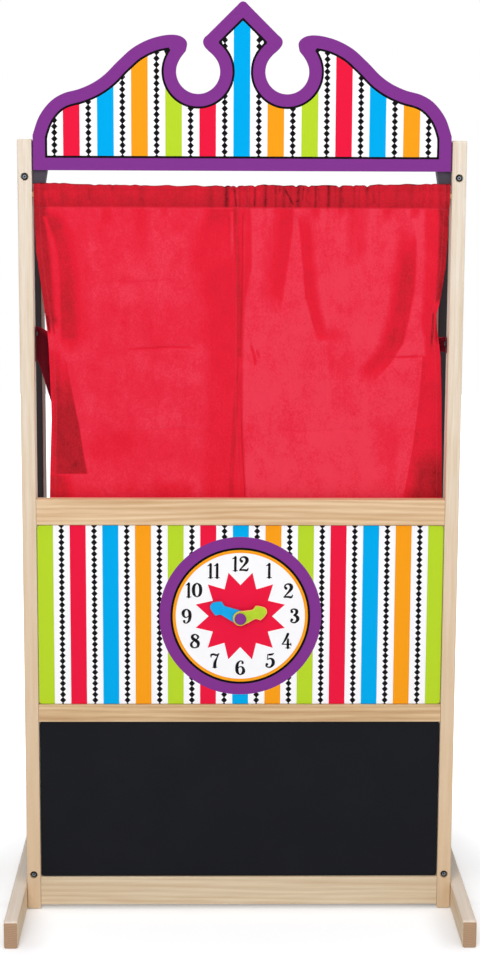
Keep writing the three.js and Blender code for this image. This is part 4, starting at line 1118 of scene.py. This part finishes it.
rightPanel = {
    "name": "rightCurtainCloth", "node": "right_curtain", "body": "right_drape",
    "joint": "right_curtain_draw", "tone": 0.03, "seed": 1.9, "lean": 0.019, "anchor": 0.0008,
    "flat": (0.369, 0.62),
    "outer": [(0.3605, 1.321), (0.3602, 1.28), (0.3588, 1.229), (0.356, 1.175), (0.351, 1.135),
              (0.3463, 1.108), (0.3425, 1.094), (0.344, 1.067), (0.3485, 1.04), (0.3518, 1.014),
              (0.355, 0.946), (0.359, 0.82), (0.36, 0.765), (0.36, 0.733)],
    "inner": [(0.0014, 1.321), (0.0015, 1.278), (-0.0035, 1.262), (-0.005, 1.1), (-0.005, 0.733)],
    "top": [(-0.004, 1.3149), (0.034, 1.3165), (0.1, 1.316), (0.178, 1.316), (0.274, 1.3184),
            (0.352, 1.3194), (0.361, 1.3192)],
    "folds": [
        {"left": [(-0.0106, 1.278), (-0.0083, 0.763)],
         "right": [(0.012, 1.275), (0.014, 1.228), (0.0143, 1.174), (0.0041, 1.12), (0.0009, 1.067),
                   (0.0002, 1.01), (0.0004, 0.918), (0.0022, 0.862), (0.005, 0.806), (0.0072, 0.763)],
         "soft": (0.0027, 0.0053), "fade": (0, 0), "tone": 0.31},
        {"left": [(0.0819, 1.28), (0.077, 1.228), (0.0619, 1.12), (0.057, 1.079)],
         "right": 0.007, "soft": (0.0393, 0.0053), "fade": (0.006, 0.07), "tone": 0.36, "deep": -0.0031},
        {"left": [(0.0925, 1.278), (0.093, 1.225)],
         "right": 0.0035, "soft": (0.008, 0.008), "fade": (0.004, 0.05), "tone": 0, "deep": 0.0017},
        {"left": [(0.0981, 1.271), (0.1056, 1.201), (0.1132, 1.121), (0.1289, 1.066), (0.1399, 1.044)],
         "right": 0.0105, "soft": (0.0028, 0.017), "fade": (0.035, 0.01), "tone": 0.35, "deep": -0.0037},
        {"left": [(0.1291, 1.074), (0.1418, 1.044)],
         "right": 0.0315, "soft": (0.0132, 0.021), "fade": (0.02, 0.006), "tone": 0.22},
        {"left": [(0.1943, 1.28), (0.1937, 1.201), (0.1946, 1.148)],
         "right": 0.0105, "soft": (0.021, 0.021), "fade": (0, 0.08), "tone": 0.24, "deep": -0.0015,
         "strength": 0.85},
        {"left": [(0.2517, 1.279), (0.247, 1.244)],
         "right": 0.0035, "soft": (0.0105, 0.0105), "fade": (0, 0.03), "tone": 0.27, "deep": -0.001},
        {"left": [(0.1265, 1.28), (0.1269, 1.244)],
         "right": 0.0035, "soft": (0.0105, 0.0105), "fade": (0, 0.03), "tone": 0.25, "deep": -0.0008},
        {"left": [(0.1717, 1.28), (0.172, 1.253)],
         "right": 0.0026, "soft": (0.008, 0.008), "fade": (0, 0.03), "tone": 0.22, "deep": -0.0007},
        {"left": [(0.2987, 1.276), (0.2957, 1.253)],
         "right": 0.0035, "soft": (0.0105, 0.0105), "fade": (0, 0.02), "tone": 0.28, "deep": -0.0008},
        {"left": [(0.2797, 1.269), (0.2861, 1.215), (0.2845, 1.175), (0.2811, 1.135), (0.27, 1.08),
                  (0.2603, 1.04), (0.2395, 1.007), (0.2206, 0.984), (0.205, 0.966)],
         "right": [(0.2936, 1.268), (0.3022, 1.215), (0.3019, 1.175), (0.3003, 1.135), (0.291, 1.08),
                   (0.2824, 1.04), (0.2628, 1.007), (0.2428, 0.982), (0.2227, 0.964)],
         "soft": (0.026, 0.005), "fade": (0.09, 0.05), "tone": 0.48, "deep": -0.0045},
        {"left": [(0.3229, 1.281), (0.3251, 1.201), (0.324, 1.121), (0.3234, 1.08), (0.3262, 1.046)],
         "right": 0.0192, "soft": (0.0105, 0.0027), "fade": (0.004, 0.02), "tone": 0.3, "deep": 0.0022},
        {"left": [(0.3414, 1.314), (0.3454, 1.255), (0.3452, 1.175), (0.3419, 1.108)],
         "right": 0.028, "soft": (0.0058, 0.0027), "fade": (0, 0.012), "tone": 0.78},
        {"left": [(0.3206, 1.017), (0.3186, 0.973), (0.3143, 0.918), (0.3086, 0.862), (0.2998, 0.807),
                  (0.2922, 0.763)],
         "right": 0.07, "soft": (0.0018, 0.0027), "fade": (0, 0), "tone": 0.38},
        {"left": [(0.3375, 0.862), (0.328, 0.819), (0.3199, 0.763)],
         "right": 0.0525, "soft": (0.0315, 0.0027), "fade": (0.06, 0), "tone": 0.84, "strength": 0.9},
        {"left": [(0.2467, 0.921), (0.2513, 0.866), (0.2562, 0.794)],
         "right": 0.014, "soft": (0.0315, 0.021), "fade": (0.05, 0.05), "tone": 0.2, "deep": -0.0015,
         "strength": 0.8},
        {"left": [(0.1521, 1.064), (0.157, 0.974), (0.1691, 0.881)],
         "right": 0.0175, "soft": (0.0042, 0.0473), "fade": (0.02, 0.06), "tone": 0.13, "strength": 0.8},
        {"left": [(0.327, 1.078), (0.3288, 1.017)],
         "right": 0.0245, "soft": (0.008, 0.0027), "fade": (0.02, 0.001), "tone": 0.36},
        {"left": [(0.3357, 1.098), (0.3353, 1.064), (0.3342, 1.028)],
         "right": 0.0016, "soft": (0.0024, 0.0024), "fade": (0.008, 0.02), "tone": 0.8, "deep": -0.0018},
        {"left": [(0.3427, 1.089), (0.342, 1.064), (0.3436, 1.037)],
         "right": 0.0014, "soft": (0.0021, 0.0021), "fade": (0.008, 0.01), "tone": 0.72, "deep": -0.001},
        {"left": [(0.0151, 1.04), (0.0214, 1.019), (0.0251, 0.997)],
         "right": 0.0014, "soft": (0.0027, 0.0036), "fade": (0.01, 0.01), "tone": 0.36, "deep": -0.0011},
        {"left": [(0.0257, 1.033), (0.0312, 1.01)],
         "right": 0.0014, "soft": (0.0027, 0.0036), "fade": (0.01, 0.01), "tone": 0.3, "deep": -0.0008},
    ],
    "pinches": [
        (0.0048, 1.3177, 0.0048, 1.3057, 0.0012, 0.8), (0.0224, 1.3127, 0.0212, 1.2766, 0.0014, 0.96),
        (0.0281, 1.3093, 0.0283, 1.2818, 0.0023, 0.46), (0.0749, 1.3077, 0.0884, 1.282, 0.0016, 1),
        (0.0924, 1.2863, 0.098, 1.2898, 0.0019, 1), (0.1061, 1.313, 0.1046, 1.289, 0.0012, 0.9),
        (0.0644, 1.3145, 0.065, 1.3043, 0.0014, 0.82), (0.1138, 1.3096, 0.1106, 1.2838, 0.0016, 0.74),
        (0.1311, 1.3097, 0.1348, 1.2873, 0.0018, 0.76), (0.1708, 1.3167, 0.1717, 1.3047, 0.0014, 0.84),
        (0.1739, 1.2961, 0.1747, 1.2858, 0.0014, 0.8), (0.1933, 1.3168, 0.1942, 1.303, 0.0014, 0.8),
        (0.2169, 1.3169, 0.2154, 1.298, 0.0016, 0.84), (0.2264, 1.3032, 0.2302, 1.2843, 0.0018, 0.74),
        (0.3146, 1.3155, 0.317, 1.2829, 0.0028, 0.68), (0.3284, 1.319, 0.3292, 1.2812, 0.0021, 0.68),
        (0.343, 1.3105, 0.3445, 1.2813, 0.0012, 0.8),
    ],
    "notches": [
        (0.0049, 0.0009, 0.0053), (0.0222, 0.0021, 0.0026), (0.0707, 0.0012, 0.0053),
        (0.0932, 0.003, 0.0035), (0.1149, 0.0026, 0.0032), (0.1678, 0.0028, 0.0032),
        (0.1921, 0.0021, 0.0032), (0.2164, 0.003, 0.0032), (0.2736, 0.0009, 0.007),
        (0.3275, 0.0009, 0.0035),
    ],
    "creases": [(1.0175, 0.255, 0.33, 0.0012, 0.4), (0.884, 0.06, 0.23, 0.0005, 0.06)],
    "gatherShare": [(0, 0.4), (0.02, 0.5), (0.035, 0.9), (0.15, 0.9), (0.2, 0.6), (0.26, 0.25),
                    (0.33, 0.3), (0.36, 0.5)],
}


# Depth of the cloth below the pocket: its lean, minus what rises towards the viewer, such as folds,
# gathers and ripples. It stays clear of the rail in front of it and of the tie-backs behind it.
def panelDepth(x, z, panel, settings):
    seed = panel["seed"]
    share = np.interp(x, *np.array(panel["gatherShare"]).T)
    below = np.clip((settings["seam"] - z) / settings["gatherReach"], 0, None)
    uneven, turns = settings["gatherUneven"]
    fading = np.exp(-below * (1.0 + uneven * np.sin(x * turns + 1)))
    rise = sum(foldRise(x, z, fold) for fold in panel["folds"] if "deep" in fold)
    rise = rise + gathers(x, seed) * share * settings["gatherDepth"] * fading
    for crease in panel["creases"]:
        rise = rise - crease[3] * creaseWeight(x, z, crease, settings["creaseHalf"], settings)
    a, b, c, d = settings["waveTurns"]
    wave = settings["waveDepth"] * np.sin(x * a + b * z + seed) * np.sin(z * c + d * x)
    a, b, c, d = settings["rippleTurns"]
    ripple = settings["rippleDepth"] * np.sin(x * a + b * z) * np.sin(z * c - d * x + seed)
    rise = rise + (wave + ripple) * smoothstep(*settings["slackHeights"], z)
    seam = settings["seam"]
    loose = smoothstep(seam + settings["looseStart"], seam - settings["looseReach"], z)
    side = np.sign(panel["anchor"])
    lap = settings["overlap"] * side * smoothstep(*settings["overlapReach"], abs(x)) - rise
    depth = settings["rodDepth"] + panel["lean"] * smoothstep(*settings["sagHeights"], z) + lap * loose
    overRail = smoothstep(*settings["railRise"], z - settings["railTop"])
    front = settings["railLimit"] + (settings["frontLimit"] - settings["railLimit"]) * overRail
    atTie = smoothstep(*settings["tieHeights"], z) * smoothstep(*settings["tiePlaces"], abs(x))
    back = settings["backLimit"] + (settings["tieLimit"] - settings["backLimit"]) * atTie
    return np.clip(depth, front, back)


# The rod pocket in section as (front distance, height): from the seam up in front of the rod to the
# top, then down behind it. Each side is a bell that is widest at the rod's height.
def pocketSection(settings):
    seam, top = settings["seam"], settings["pocketTop"]
    rows = np.linspace(seam + settings["firstRow"], top - settings["lastRow"], settings["pocketRows"])
    heights = np.concatenate([rows, top - np.array(settings["topRows"])])
    fromRod = heights - settings["rodHeight"]
    low, high = settings["pocketBells"]
    reach = np.where(fromRod < 0, low, high)
    bell = 1 - np.clip(abs(fromRod) / reach, 0, 1) ** settings["pocketRound"]
    front = settings["layerGap"] + (settings["rodClear"] - settings["layerGap"]) * bell
    up = np.stack([front, heights], axis=1)
    return np.concatenate([up, [(0.0, top)], up[::-1] * np.array([-1, 1]), [(settings["backSeam"], seam)]])


# 0 up to the rod and 1 at the ruffle's edge.
def overRod(z, settings):
    return smoothstep(settings["rodHeight"] + settings["rodReach"], settings["pocketTop"], z)


# Depth of the pocket: its section, with valleys in front where it is pleated or pinched, and above
# the rod a ruffle that leans towards the viewer.
def pocketDepth(x, z, side, pleat, panel, settings):
    pinched = np.clip(sum(pinchWeight(x, z, pinch, settings) for pinch in panel["pinches"]), 0, 1)
    inFront = np.clip(side, 0, None) / settings["rodClear"]
    valley = (settings["valleyDepth"] * pleat - settings["pinchDepth"] * pinched) * inFront
    reach = settings["rodReach"]
    atRod = smoothstep(reach + settings["rodBlend"], reach, abs(z - settings["rodHeight"]))
    valley = valley * (1 - atRod) + np.clip(valley, *settings["rodValley"]) * atRod
    lean = (settings["ruffleLean"] + settings["ruffleWave"] * pleat) * overRod(z, settings)
    atSeam = 1 - smoothstep(settings["seam"], settings["rodHeight"], z)
    return settings["rodDepth"] - side - valley - lean - settings["pleatDepth"] * pleat * atSeam


# How far the ruffle's edge is over an even line: a route across, waves, and a notch at each gather.
def edgeRise(x, panel, settings):
    wide, fine = settings["edgeWaves"]
    rise = np.interp(x, *np.array(panel["top"]).T) - settings["pocketTop"]
    stretch, turns = settings["edgeTurns"]
    rise = rise + wide * gathers(x * stretch, panel["seed"] + settings["edgeSeed"])
    rise = rise + fine * np.sin(x * turns + panel["seed"])
    for place, depth, half in panel["notches"]:
        rise = rise - depth * np.exp(-((x - place) / half) ** 2)
    return rise


# The cloth from the hem up to the seam, round the rod as a pocket and down behind it to the seam
# again, as one sheet; rows follow that way and columns run across.
def makePanel(panel, settings, material):
    rows = int((settings["seam"] - settings["hem"]) / settings["rowStep"]) + 1
    hang = np.linspace(settings["hem"], settings["seam"], rows)
    pocket = pocketSection(settings)
    heights = np.concatenate([hang, pocket[:, 1]])[:, None]
    inPocket = np.concatenate([np.zeros(len(hang)), np.ones(len(pocket))])[:, None]
    side = np.concatenate([np.zeros(len(hang)), pocket[:, 0]])[:, None]
    columns = int(abs(panel["outer"][0][0]) / settings["columnStep"]) + 1
    across = np.linspace(0, 1, columns)[None, :]
    lower, upper = sorted((panel["outer"], panel["inner"]), key=lambda route: route[0][0])
    start, end = along(lower, heights), along(upper, heights)
    x = start + (end - start) * across
    z = np.broadcast_to(heights, x.shape).copy()
    pleat = gathers(x, panel["seed"]) * np.interp(x, *np.array(panel["gatherShare"]).T)
    hanging, pocketed = panelDepth(x, z, panel, settings), pocketDepth(x, z, side, pleat, panel, settings)
    sewn = settings["rodDepth"] - settings["pleatDepth"] * pleat - settings["seamStep"]
    nearSeam = smoothstep(settings["seam"] - settings["seamBlend"], settings["seam"], z)
    y = np.where(inPocket > 0, pocketed, hanging * (1 - nearSeam) + sewn * nearSeam)
    z = z + edgeRise(x, panel, settings) * overRod(z, settings)
    points = np.stack([x, y, z], axis=2)
    piece = meshPiece(panel["name"], points.reshape(-1, 3), gridFaces(*x.shape), material, panel["body"])
    return piece, x, np.broadcast_to(heights, x.shape), np.broadcast_to(inPocket, x.shape), pleat


weaveSettings = {
    "threadScales": (260.0, 2600.0), "slubScale": 420.0, "cloudScale": 14.0, "crumpleScale": 42.0,
    "glitterScale": 330.0, "stitchHalf": (0.0004, 0.0012), "stitchStep": 0.0034, "stitchLength": 0.0024,
    "lineTone": 0.14, "stitchTone": 0.12, "threadGlintTone": 0.07, "sheen": 0.06, "depth": 0.00035,
}


# Plain weave: two fine crossed noises for the threads, a cloud that makes the tone uneven, and stitches
# along the sewn lines. The tone follows the painted shading: darker where cloth lies in more layers, as
# less light shines through, with painted shade and highlights along the folds.
def clothFinish(name, colors, weave):
    cloth = Finish(name, **{"Specular IOR Level": 0.03, "Sheen Weight": weave["sheen"]})
    place = cloth.place()
    layers = cloth.attribute("layers")
    coarse, dense = weave["threadScales"]
    weft = cloth.noise(cloth.stretch(place, (coarse, coarse, dense)), 1.0, 2.0, 0.6)
    warp = cloth.noise(cloth.stretch(place, (dense, dense, coarse)), 1.0, 2.0, 0.6)
    slub = cloth.noise(cloth.stretch(place, (1.0, 1.0, 0.35)), weave["slubScale"], 3.0, 0.7)
    cloud = cloth.noise(place, weave["cloudScale"], 4.0, 0.6)
    crumple = cloth.noise(cloth.stretch(place, (1.0, 1.0, 0.7)), weave["crumpleScale"], 5.0, 0.68, 0.4)
    glitter = cloth.noise(place, weave["glitterScale"], 2.0, 0.7)
    line = abs(cloth.attribute("stitchAcross")).ramp(*weave["stitchHalf"], 1.0, 0.0)
    dash = line * ((cloth.attribute("stitchAlong") % weave["stitchStep"]) < weave["stitchLength"])
    # The crumple noise that bumps the cloth also darkens its tone where it is high: painted shade of the
    # crumples.
    level = layers + cloud.ramp(0.34, 0.72, -0.05, 0.08) + crumple.ramp(0.35, 0.75, -0.04, 0.07)
    # A fine glitter that moves the tone both ways: painted glints of the weave.
    level = level + glitter.ramp(0.38, 0.62, 0.05, -0.05)
    tone = cloth.node("ShaderNodeValToRGB", {"stops": colors["stops"]}, {"Fac": level})
    # Pale specks where the thread noises are highest: painted glints, in the same colour as the stitches.
    speck = (weft * 0.5 + warp * 0.5 + slub * 0.6).ramp(0.55, 1.1)
    tone = cloth.mix(speck * weave["threadGlintTone"], tone, colors["threadAndGlint"])
    tone = cloth.mix(line * weave["lineTone"], tone, colors["stops"][-2][1])
    tone = cloth.mix(dash * weave["stitchTone"], tone, colors["threadAndGlint"])
    height = weft + warp + slub * 1.2 + crumple * 7.0 - line * 1.5 + dash * 1.6
    cloth.set(color=tone, roughness=0.82, normal=cloth.bump(height, 0.22, weave["depth"]))
    return cloth.material


curtainColors = {
    "threadAndGlint": linear(250, 104, 118),
    "stops": [(0.0, linear(235, 57, 78)), (0.12, linear(231, 40, 64)), (0.30, linear(227, 26, 49)),
              (0.42, linear(222, 26, 50)), (0.56, linear(203, 27, 43)), (0.70, linear(186, 26, 39)),
              (0.84, linear(164, 23, 33)), (1.0, linear(92, 8, 18))],
}
curtainCloth = clothFinish("curtainWeave", curtainColors, weaveSettings)


# Painted shading, from 0 to 1: how dark each place is by the layers of cloth behind it, as less light
# shines through more of them, with painted shade and highlights along folds, gathers, creases and pinches:
# the pocket, strips, turned edges and folds, each laid over the ones before it.
def panelLayers(x, z, inPocket, pleat, panel, settings):
    seam, top = settings["seam"], settings["pocketTop"]
    blend = settings["headerBlend"]
    inHeader = np.maximum(inPocket, smoothstep(seam - blend, seam + blend, z))
    # Painted shade in the gathers' valleys, fading below the seam.
    streak = np.clip(-pleat, 0, settings["streakMost"])
    below = np.clip((seam - z) / settings["streakReach"], 0, None)
    tone = panel["tone"] + settings["streakTone"] * streak * np.exp(-below)
    for fold in panel["folds"]:
        tone = tone + (fold["tone"] - tone) * foldWeight(x, z, fold)
    # Painted shade along the creases.
    for crease in panel["creases"]:
        tone = tone + crease[4] * creaseWeight(x, z, crease, settings["creaseToneHalf"], settings)
    # The pocket is darker as several layers let less light through, with painted shade in its pleats and
    # pinches and a darker top edge.
    header = settings["headerTone"] + settings["headerStreak"] * streak
    header = header + settings["headerShare"] * (tone - panel["tone"]) * (1 - 0.5 * inPocket)
    start, end = settings["edgeReach"]
    header = header + settings["edgeTone"] * smoothstep(top - start, top - end, z)
    for pinch in panel["pinches"]:
        header = header + (pinch[5] - header) * pinchWeight(x, z, pinch, settings)
    return np.clip(tone + (header - tone) * inHeader, 0, 1)


# Signed distance to the nearest sewn line, and the place along that line.
def stitchLines(x, z, inPocket, panel, settings):
    outer, inner = along(panel["outer"], z), along(panel["inner"], z)
    inwards = np.sign(inner - outer) * settings["sideLine"]
    toSeam = np.where(inPocket > 0, 0.01, z - settings["seam"] + settings["seamLine"])
    toHem = z - settings["hem"] - settings["hemLine"]
    options = np.stack([toSeam, toHem, x - outer - inwards, x - inner + inwards])
    nearest = np.argmin(abs(options), axis=0)
    across = np.take_along_axis(options, nearest[None], axis=0)[0]
    return across, np.where(nearest < 2, x, z)


# A panel with its tones and sewn lines.
def makeCurtain(panel, settings):
    piece, x, z, inPocket, pleat = makePanel(panel, settings, curtainCloth)
    setAttribute(piece, "layers", panelLayers(x, z, inPocket, pleat, panel, settings))
    across, place = stitchLines(x, z, inPocket, panel, settings)
    setAttribute(piece, "stitchAcross", across)
    setAttribute(piece, "stitchAlong", place + 1)   # never below 0
    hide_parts(panel["node"])
    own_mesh(piece)


makeCurtain(leftPanel, clothSettings)
makeCurtain(rightPanel, clothSettings)
print("curtains are ready")


# Tie-backs

tieSettings = {
    "left": {"node": "left_tie_back", "screw": "left_tie_back_screw", "tabTop": 1.067, "tabLow": 1.0065,
             "endTop": 1.050, "endLow": 0.9025, "endX": -0.328, "postX": -0.3614, "flat": (0.050, 0.090)},
    "right": {"node": "right_tie_back", "screw": "right_tie_back_screw", "tabTop": 1.0505,
              "tabLow": 1.0235, "endTop": 1.046, "endLow": 1.030, "endX": 0.3345, "postX": 0.3614,
              "flat": (0.037, 0.030)},
}
bandSettings = {
    "tabShare": 0.32, "turnShare": 0.10, "tabFront": -0.0332, "postCorner": -0.0193, "bend": 0.0022,
    "columns": (22, 10, 46), "rows": 60, "thickness": 0.0009, "topCurve": 1.3, "lowCurve": 1.1,
    "wrinkles": (0.0008, 0.0005), "wrinkleTurns": (19, 7, 41, 11), "wrinkleLimits": (-0.0006, 0.0012),
    "wrinkleFrom": (0.40, 0.75), "edgeLine": 0.004,
    # painted shading: dark all over as cloth in shade, paler along the edges and at the top as painted
    # highlights
    "tone": 0.98, "edgeTone": 0.5, "edgeReach": (0.0016, 0.0004), "topTone": 0.45, "topFrom": (0.86, 0.97),
}
# Dark reds for the tie-backs: the curtain's red as painted shade.
shadedTieColors = {
    "threadAndGlint": linear(190, 60, 76),
    "stops": [(0.0, linear(190, 32, 50)), (0.4, linear(150, 20, 35)), (0.75, linear(108, 14, 27)),
              (1.0, linear(82, 9, 20))],
}


# A band that lies on the post's inner face, turns its corner and runs in behind the curtain;
# columns follow that way, rows go up, and the wrinkles grow towards the narrow end.
def makeTieBack(name, settings, band, material):
    tab, turned = band["tabShare"], band["tabShare"] + band["turnShare"]
    onTab, inTurn, past = band["columns"]
    way = np.concatenate([np.linspace(0, tab, onTab), np.linspace(tab, turned, inTurn)[1:],
                          np.linspace(turned, 1, past)[1:]])
    post, end, bend = settings["postX"], settings["endX"], band["bend"]
    inward = np.sign(end - post)
    turn = np.clip((way - tab) / band["turnShare"], 0, 1) * math.pi / 2
    reach = np.clip((way - turned) / (1 - turned), 0, 1)
    x = post + inward * bend * (1 - np.cos(turn)) + (end - post - inward * bend) * reach
    corner = band["postCorner"] - bend
    onPost = band["tabFront"] + way / tab * (corner - band["tabFront"])
    y = np.where(way < tab, onPost, corner + bend * np.sin(turn))
    top = settings["tabTop"] + (settings["endTop"] - settings["tabTop"]) * reach ** band["topCurve"]
    low = settings["tabLow"] + (settings["endLow"] - settings["tabLow"]) * reach ** band["lowCurve"]
    up = np.linspace(0, 1, band["rows"])[:, None]
    z = low[None, :] + (top - low)[None, :] * up
    (wide, fine), (a, b, c, d) = band["wrinkles"], band["wrinkleTurns"]
    wrinkle = wide * np.sin(up * a + b * way[None, :]) + fine * np.sin(up * c - d * way[None, :])
    fade = smoothstep(*band["wrinkleFrom"], way)[None, :]
    x = np.broadcast_to(x[None, :], z.shape)
    y = np.broadcast_to(y[None, :], z.shape) + np.clip(wrinkle, *band["wrinkleLimits"]) * fade
    faces = gridFaces(*z.shape)
    if inward < 0:
        faces = faces[:, ::-1]
    piece = meshPiece(name, np.stack([x, y, z], axis=2).reshape(-1, 3), faces, material)
    # Painted shading: dark as cloth in shade, with painted highlights along the edges and at the top.
    edge = np.minimum(up, 1 - up) * (top - low)[None, :]
    paler = band["edgeTone"] * smoothstep(*band["edgeReach"], edge)
    atTop = smoothstep(*band["topFrom"], up + 0 * z) * fade
    setAttribute(piece, "layers", band["tone"] - paler - band["topTone"] * atTop)
    setAttribute(piece, "stitchAcross", edge - band["edgeLine"])
    setAttribute(piece, "stitchAlong", x + 1)
    thick = piece.modifiers.new("clothThickness", "SOLIDIFY")
    thick.thickness = band["thickness"]
    thick.offset = 0
    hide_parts(settings["node"])


shadedTieCloth = clothFinish("tieBackShadedWeave", shadedTieColors, weaveSettings)
for side in ("left", "right"):
    makeTieBack(side + "TieBackCloth", tieSettings[side], bandSettings, shadedTieCloth)
print("tie-backs are ready")


# Finishes of the pieces that stay as they are

finishOf = {
    "top_rail": woods["topRailGrain"], "middle_rail": woods["middleRailGrain"],
    "bottom_rail": woods["railGrain"], "curtain_rod": woods["cleatGrain"],
    "chalkboard": paints["slatePaint"], "clock_panel": clockPrint, "hub_cap": paints["purplePlastic"],
}
for side in ("left", "right"):
    finishOf[f"{side}_post"] = woods["postGrain"]
    finishOf[f"{side}_foot"] = woods["footGrain"]
    finishOf[f"{side}_rear_upright"] = woods["uprightShadedGrain"]
    for part in ("upper_side_rail", "lower_side_rail", "pediment_block"):
        finishOf[f"{side}_{part}"] = paints["charcoalPaint"]
    for level in ("upper", "lower"):
        name = f"{side}_{level}_frame_bolt"
        finishOf[name] = makeBoltHead(side + level.capitalize() + "BoltHead", name, boltHead)
replaced = {"pediment", "minute_hand", "hour_hand", "left_curtain", "right_curtain", "left_tie_back",
            "right_tie_back"}
finishByEnd = {
    "cleat": woods["cleatGrain"], "washer": paints["nylonPlastic"], "bolt": metals["boltSteel"],
    "coach_screw": metals["boltSteel"], "tie_back_screw": metals["blackZinc"], "": metals["zincPlate"],
}
for name in nodes:
    if name not in finishOf and name not in replaced:
        finishOf[name] = next(finish for end, finish in finishByEnd.items() if name.endswith(end))
for name, material in finishOf.items():
    slots = nodes[name].data.materials
    slots.clear()
    slots.append(material)
print("finishes are on", len(finishOf), "pieces")
